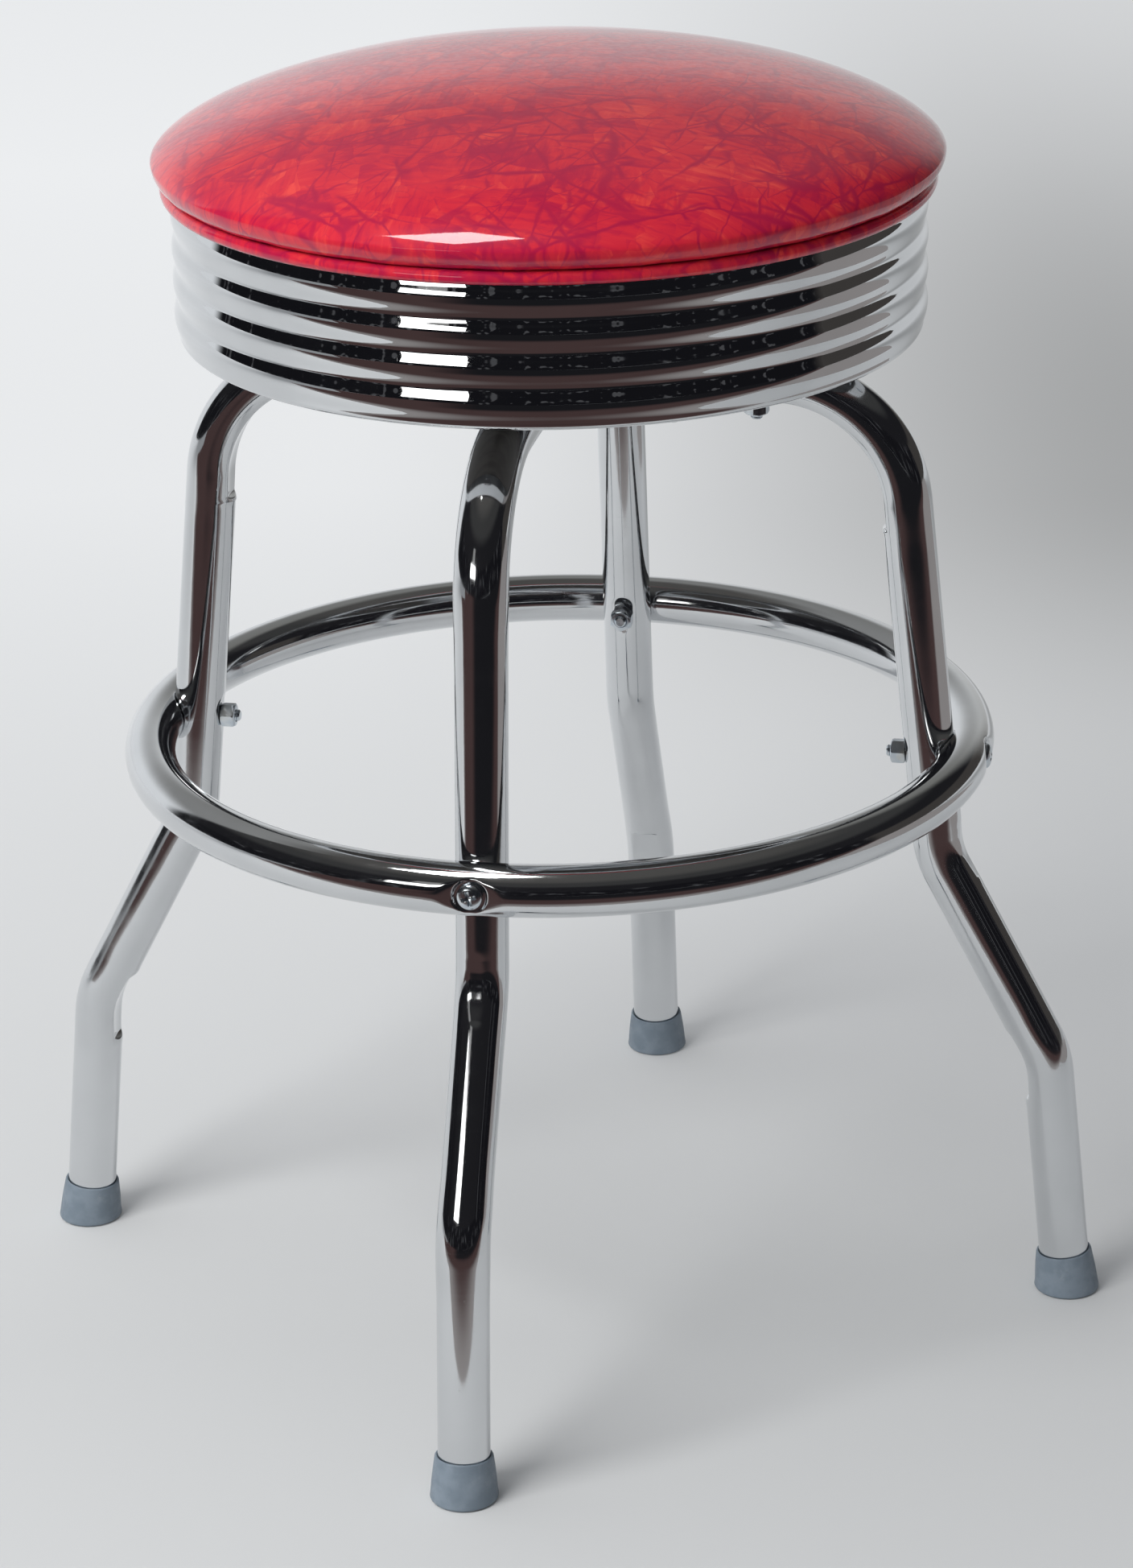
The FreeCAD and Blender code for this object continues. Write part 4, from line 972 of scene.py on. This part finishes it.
def plate_fasteners():
    """The four bolts down through the frames' top runs, and their nuts."""
    seat = bolt_high.z - BOLT_HEAD_HEIGHT
    rings = [pole(bolt_low.z)] + thread_rings(bolt_low.z, seat - PLAIN_BOLT)
    rings.append(fastener_ring(SCREW_RADIUS, seat))
    for turn in np.linspace(0.0, 0.5 * math.pi, 12)[:-1]:
        rings.append(fastener_ring(BOLT_HEAD_RADIUS * math.cos(turn),
                                   seat + BOLT_HEAD_HEIGHT * math.sin(turn)))
    rings.append(pole(bolt_high.z))
    bolt = skin(rings)
    nut = hex_nut(plate_nut_high.z - plate_nut_low.z, rounded=False)
    bolts, nuts = [], []
    for direction in LEG_DIRECTIONS:
        place = Matrix.Rotation(direction, 4, "Z") @ Matrix.Translation((BOLT_CIRCLE, 0.0, 0.0))
        bolts.append(moved(bolt, place))
        spin = Matrix.Rotation(0.4 + direction, 4, "Z")
        nuts.append(moved(nut, place @ Matrix.Translation((0.0, 0.0, plate_nut_high.z)) @ spin))
    add_fasteners("plate_round_bolts", bolts, "plate_bolts", 42)
    add_fasteners("plate_hex_nuts", nuts, "plate_nuts", 32)


# ------ foot caps

CAP_BOTTOM_RADIUS = 0.0165
CAP_TOP_RADIUS = 0.0141
CAP_HEIGHT = 0.022
CAP_SEGMENTS = 96
CAP_ROUND = 0.0022
CAP_RISE = 0.8 * CAP_ROUND
CAP_LIP = 0.0007
CAP_BELLY = 0.00025
CAP_BORE = TUBE_RADIUS + 0.00005


def foot_cap(name, direction):
    """A tapered rubber cap: level underside, rounded foot and rolled lip."""
    reach_at_floor = leg_line.at(leg_line.length)[0] + TUBE_END / math.tan(LOWER_SLOPE)
    axis_foot = np.array([reach_at_floor, 0.0, 0.0])
    along = np.array([-math.cos(LOWER_SLOPE), 0.0, math.sin(LOWER_SLOPE)])
    across = np.array([math.sin(LOWER_SLOPE), 0.0, math.cos(LOWER_SLOPE)])
    taper = (CAP_BOTTOM_RADIUS - CAP_TOP_RADIUS) / CAP_HEIGHT
    turn = turns(CAP_SEGMENTS)

    def ring(reach, height):
        """A ring about the leg's axis, at a height along it for each turn."""
        side = np.outer(reach * np.cos(turn), across) + np.outer(reach * np.sin(turn), (0.0, 1.0, 0.0))
        return axis_foot + np.outer(height + 0.0 * turn, along) + side

    def floor_height(reach):
        """Heights along the axis at which side lines meet the floor."""
        return -reach * np.cos(turn) * across[2] / along[2]

    rings = [np.array([axis_foot])]
    for reach in (0.004, 0.009, CAP_BOTTOM_RADIUS - CAP_ROUND):
        rings.append(ring(reach, floor_height(reach)))
    for bend in np.linspace(0.0, 0.5 * math.pi, 7)[1:]:
        reach = CAP_BOTTOM_RADIUS - CAP_ROUND * (1.0 - math.sin(bend))
        rings.append(ring(reach, floor_height(reach) + CAP_RISE * (1.0 - math.cos(bend))))
    low = floor_height(CAP_BOTTOM_RADIUS) + CAP_RISE
    for share in np.linspace(0.0, 1.0, 10)[1:]:
        height = low + share * (CAP_HEIGHT - CAP_LIP - low)
        rings.append(ring(CAP_BOTTOM_RADIUS - taper * height + CAP_BELLY * math.sin(math.pi * share), height))
    for bend in np.linspace(0.0, math.pi, 7)[1:]:
        rings.append(ring(CAP_TOP_RADIUS - CAP_LIP + CAP_LIP * math.cos(bend),
                          CAP_HEIGHT - CAP_LIP + CAP_LIP * math.sin(bend)))
    rings.append(ring(CAP_BORE, CAP_HEIGHT - 0.003))
    rings.append(ring(CAP_BORE, TUBE_END))
    rings.append(np.array([axis_foot + along * TUBE_END]))
    part = moved(skin(rings), Matrix.Rotation(direction, 4, "Z"))
    new_piece(name.replace("foot_cap", "rubber_foot"), part, rubber, "base", name,
              sharp_angle=55)


seat_cushion()
foam_core()
vinyl_lip()
ribbed_band()
leg_tube("left_right_tube", "frame_left_right", 0.0, 1.0)
leg_tube("front_back_tube", "frame_front_back", 0.5 * math.pi, -1.0)
foot_ring()
ring_fasteners()
plate_fasteners()
for side, direction in zip(("right", "back", "left", "front"), LEG_DIRECTIONS):
    foot_cap("foot_cap_" + side, direction)

# ------ camera

VIEW_AZIMUTH = math.radians(11.35)
VIEW_ELEVATION = math.radians(21.32)
VIEW_ROLL = math.radians(-1.03)
VIEW_DISTANCE = 2.4757
VIEW_CENTRE_HEIGHT = 0.2743
VIEW_CENTRE_RIGHT = 0.0097
LENS = 112.05
SENSOR_WIDTH = 36.0
SHIFT_X = -0.0082
SHIFT_Y = -0.0123


def add_camera():
    back = Vector((math.sin(VIEW_AZIMUTH) * math.cos(VIEW_ELEVATION),
                   -math.cos(VIEW_AZIMUTH) * math.cos(VIEW_ELEVATION), math.sin(VIEW_ELEVATION)))
    level = Vector((math.cos(VIEW_AZIMUTH), math.sin(VIEW_AZIMUTH), 0.0))
    upright = back.cross(level)
    right = level * math.cos(VIEW_ROLL) + upright * math.sin(VIEW_ROLL)
    up = upright * math.cos(VIEW_ROLL) - level * math.sin(VIEW_ROLL)
    data = bpy.data.cameras.new("camera")
    data.lens = LENS
    data.sensor_width = SENSOR_WIDTH
    data.shift_x = SHIFT_X
    data.shift_y = SHIFT_Y
    camera = add_object("camera", data)
    turn = Matrix((right, up, back)).transposed()
    place = Vector((0.0, 0.0, VIEW_CENTRE_HEIGHT)) + level * VIEW_CENTRE_RIGHT + back * VIEW_DISTANCE
    camera.matrix_world = Matrix.Translation(place) @ turn.to_4x4()
    scene.camera = camera


# ------ stage


def studio(right, toward, height):
    """A place in the studio: metres to the camera's right, towards the camera
    and above the floor, from the swivel axis."""
    return Vector((right * math.cos(VIEW_AZIMUTH) + toward * math.sin(VIEW_AZIMUTH),
                   right * math.sin(VIEW_AZIMUTH) - toward * math.cos(VIEW_AZIMUTH), height))


def studio_directions(n):
    """How far a place, or a direction, is towards the camera and to its right."""
    return [n.vector_math("DOT_PRODUCT", n.place, tuple(studio(*step)))
            for step in ((0.0, 1.0, 0.0), (1.0, 0.0, 0.0))]


BROWN = (0.070, 0.043, 0.042)
BLACK = (0.012, 0.012, 0.014)
PAPER_EDGE = (0.30, 0.28, 0.275)
SOFTBOX_WHITE = (1.0, 0.99, 0.97)
CARD_LIFT = 0.001                   # the cards lie this far above the floor
STAGE_REACH = 14.0
DEEPEST_SHADE = 0.66


def reflected_dark_floor_material():
    """A glowing sheet that only reflections show, a painted reflection of the dark floor of the room in front
    of the paper: brown close by and to the left, black to the right."""
    n = Nodes("reflected_dark_floor")
    toward, right = studio_directions(n)
    slant = n.math("DIVIDE", right, n.math("MAXIMUM", toward, 0.3))
    black = n.times(n.span(slant, -0.80, -0.35), n.span(toward, 0.85, 1.35))
    colour = n.mix(black, BROWN, BLACK)
    return n.glow(n.mix(n.span(toward, 0.66, 0.47), colour, PAPER_EDGE), 1.0)


def flat_sheet(name, corners, material):
    """One flat face of the stage."""
    mesh = bpy.data.meshes.new(name)
    mesh.from_pydata(corners, [], [tuple(range(len(corners)))])
    mesh.materials.append(material)
    sheet = add_object(name, mesh)
    return sheet


def card(name, corners, material):
    """A flat card that only shows in reflections."""
    sheet = flat_sheet(name, corners, material)
    for ray in ("camera", "diffuse", "shadow", "transmission", "volume_scatter"):
        setattr(sheet, "visible_" + ray, False)


def add_floor():
    n = Nodes("pale_paper")
    toward, right = studio_directions(n)
    # Painted shade: the paper's colour is darkened towards the back right, where the sweep lies in shade.
    side = n.span(right, -0.20, 0.50)
    depth = n.times(n.span(toward, -0.4, -1.3), n.span(toward, -1.4, -3.2, 1.0, 0.35))
    shade = n.times(n.times(side, depth), DEEPEST_SHADE)
    paper = n.mix(shade, (0.64, 0.645, 0.643), (0.20, 0.20, 0.193))
    # Painted light: the paper glows, more the further it lies behind the stool and less where its shade is
    # painted.
    near = n.span(toward, 0.1, -1.3, 0.0, 0.36, smooth=False)
    far = n.span(toward, -1.3, -2.3, 0.0, 0.10, smooth=False)
    painted_glow = n.times(n.math("ADD", near, far), n.span(shade, 0.0, DEEPEST_SHADE, 1.0, 0.38, smooth=False))
    n.finish(Base_Color=paper, Roughness=0.85, Specular_IOR_Level=0.1,
             Emission_Color=(1.0, 1.01, 1.02), Emission_Strength=painted_glow)
    corners = [(x * STAGE_REACH, y * STAGE_REACH, 0.0) for x, y in ((-1, -1), (1, -1), (1, 1), (-1, 1))]
    flat_sheet("studio_floor", corners, n.material)


def add_key_light():
    place = studio(-1.3, 1.2, 1.9)
    target = Vector((0.0, 0.0, 0.3))
    data = bpy.data.lights.new("key_light", "AREA")
    data.shape = "SQUARE"
    data.size = 1.2
    data.energy = 42.0
    light = add_object("key_light", data)
    light.location = place
    light.rotation_mode = "QUATERNION"
    light.rotation_quaternion = (place - target).to_track_quat("Z", "Y")
    light.visible_glossy = False
    light.visible_camera = False


def add_world():
    """Pale for the camera, soft all-round light, and for reflections a studio:
    pale sweep behind, dark room in front, grey ceiling."""
    world = bpy.data.worlds.new("studio")
    scene.world = world
    world.use_nodes = True
    world.node_tree.nodes.clear()
    n = Tree(world.node_tree, "Generated")
    ahead, beside = studio_directions(n)
    above = n.vector_math("DOT_PRODUCT", n.place, (0.0, 0.0, 1.0))
    bearing = n.math("ARCTAN2", beside, ahead)
    sweep = n.mix(n.span(beside, -0.5, 0.8), (0.82, 0.84, 0.86), (0.40, 0.40, 0.385))
    ceiling = n.mix(n.span(beside, -0.6, 0.6), (0.27, 0.272, 0.27), (0.19, 0.19, 0.18))
    behind = n.mix(n.span(above, 0.20, 0.52), sweep, ceiling)
    blocks = n.noise(1.0, 1.0, place=n.stretched((26.0, 26.0, 5.0)))
    room = n.mix(n.span(blocks, 0.60, 0.66), (0.008, 0.008, 0.010), (0.075, 0.075, 0.08))
    room = n.mix(n.span(bearing, 1.45, 1.55), room, (0.055, 0.050, 0.047))
    room = n.mix(n.span(above, 0.26, 0.32), room, (0.014, 0.014, 0.016))
    room = n.mix(n.span(above, 0.52, 0.66), room, (0.045, 0.045, 0.045))
    inside = n.times(n.span(bearing, -2.10, -2.00), n.span(bearing, 2.75, 2.40))
    seen = n.mix(inside, behind, room)
    seen = n.mix(n.span(above, 0.74, 0.90), seen, (0.085, 0.082, 0.078))
    soft = n.mix(n.span(beside, -0.8, 0.8), (1.28, 1.31, 1.35), (0.26, 0.27, 0.29))
    path = n.add("ShaderNodeLightPath", {})
    glossy = path.outputs["Is Glossy Ray"]
    camera_sees = path.outputs["Is Camera Ray"]
    colour = n.mix(camera_sees, n.mix(glossy, soft, seen), (0.78, 0.79, 0.79))
    strength = n.mix_value(camera_sees, n.mix_value(glossy, 0.64, 1.0), 1.0)
    background = n.add("ShaderNodeBackground", {"Color": colour, "Strength": strength})
    n.add("ShaderNodeOutputWorld", {"Surface": background.outputs["Background"]})


add_floor()
add_world()
reflected_dark_floor = reflected_dark_floor_material()
# Painted reflection: glowing floor cards that only reflections show.
card("front_floor_card", [studio(*corner, CARD_LIFT) for corner in (
    (-3.4, 0.46), (3.4, 0.46), (14.0, 14.0), (-14.0, 14.0), (-14.0, 6.0), (-3.4, 1.7))], reflected_dark_floor)
card("right_floor_card", [studio(*corner, CARD_LIFT) for corner in (
    (1.0, 0.46), (1.0, -0.7), (14.0, -4.0), (14.0, 14.0), (3.4, 0.46))], reflected_dark_floor)
# Painted highlights: glowing softbox cards that light nothing and only show in reflections.
for name, bearing, half_width, low_edge, high_edge, strength in (      # edges: distance and height
        ("softbox_card", -33.0, 0.27, (1.6, 0.69), (1.6, 0.93), 3.4),
        ("softbox_rim_card", -33.0, 0.12, (1.6, 0.93), (1.6, 1.26), 0.30),
        ("upper_softbox_card", -56.0, 0.29, (0.95, 2.2), (0.40, 2.9), 15.0)):
    sine, cosine = math.sin(math.radians(bearing)), math.cos(math.radians(bearing))
    outward = studio(sine, cosine, 0.0)
    aside = studio(cosine, -sine, 0.0) * half_width
    corners = []
    for (distance, height), side in ((low_edge, -1.0), (low_edge, 1.0), (high_edge, 1.0), (high_edge, -1.0)):
        corners.append(outward * distance + aside * side + Vector((0.0, 0.0, height)))
    card(name, corners, Nodes(name).glow(SOFTBOX_WHITE, strength))
add_key_light()
add_camera()

scene.view_settings.view_transform = "Standard"
scene.view_settings.look = "None"
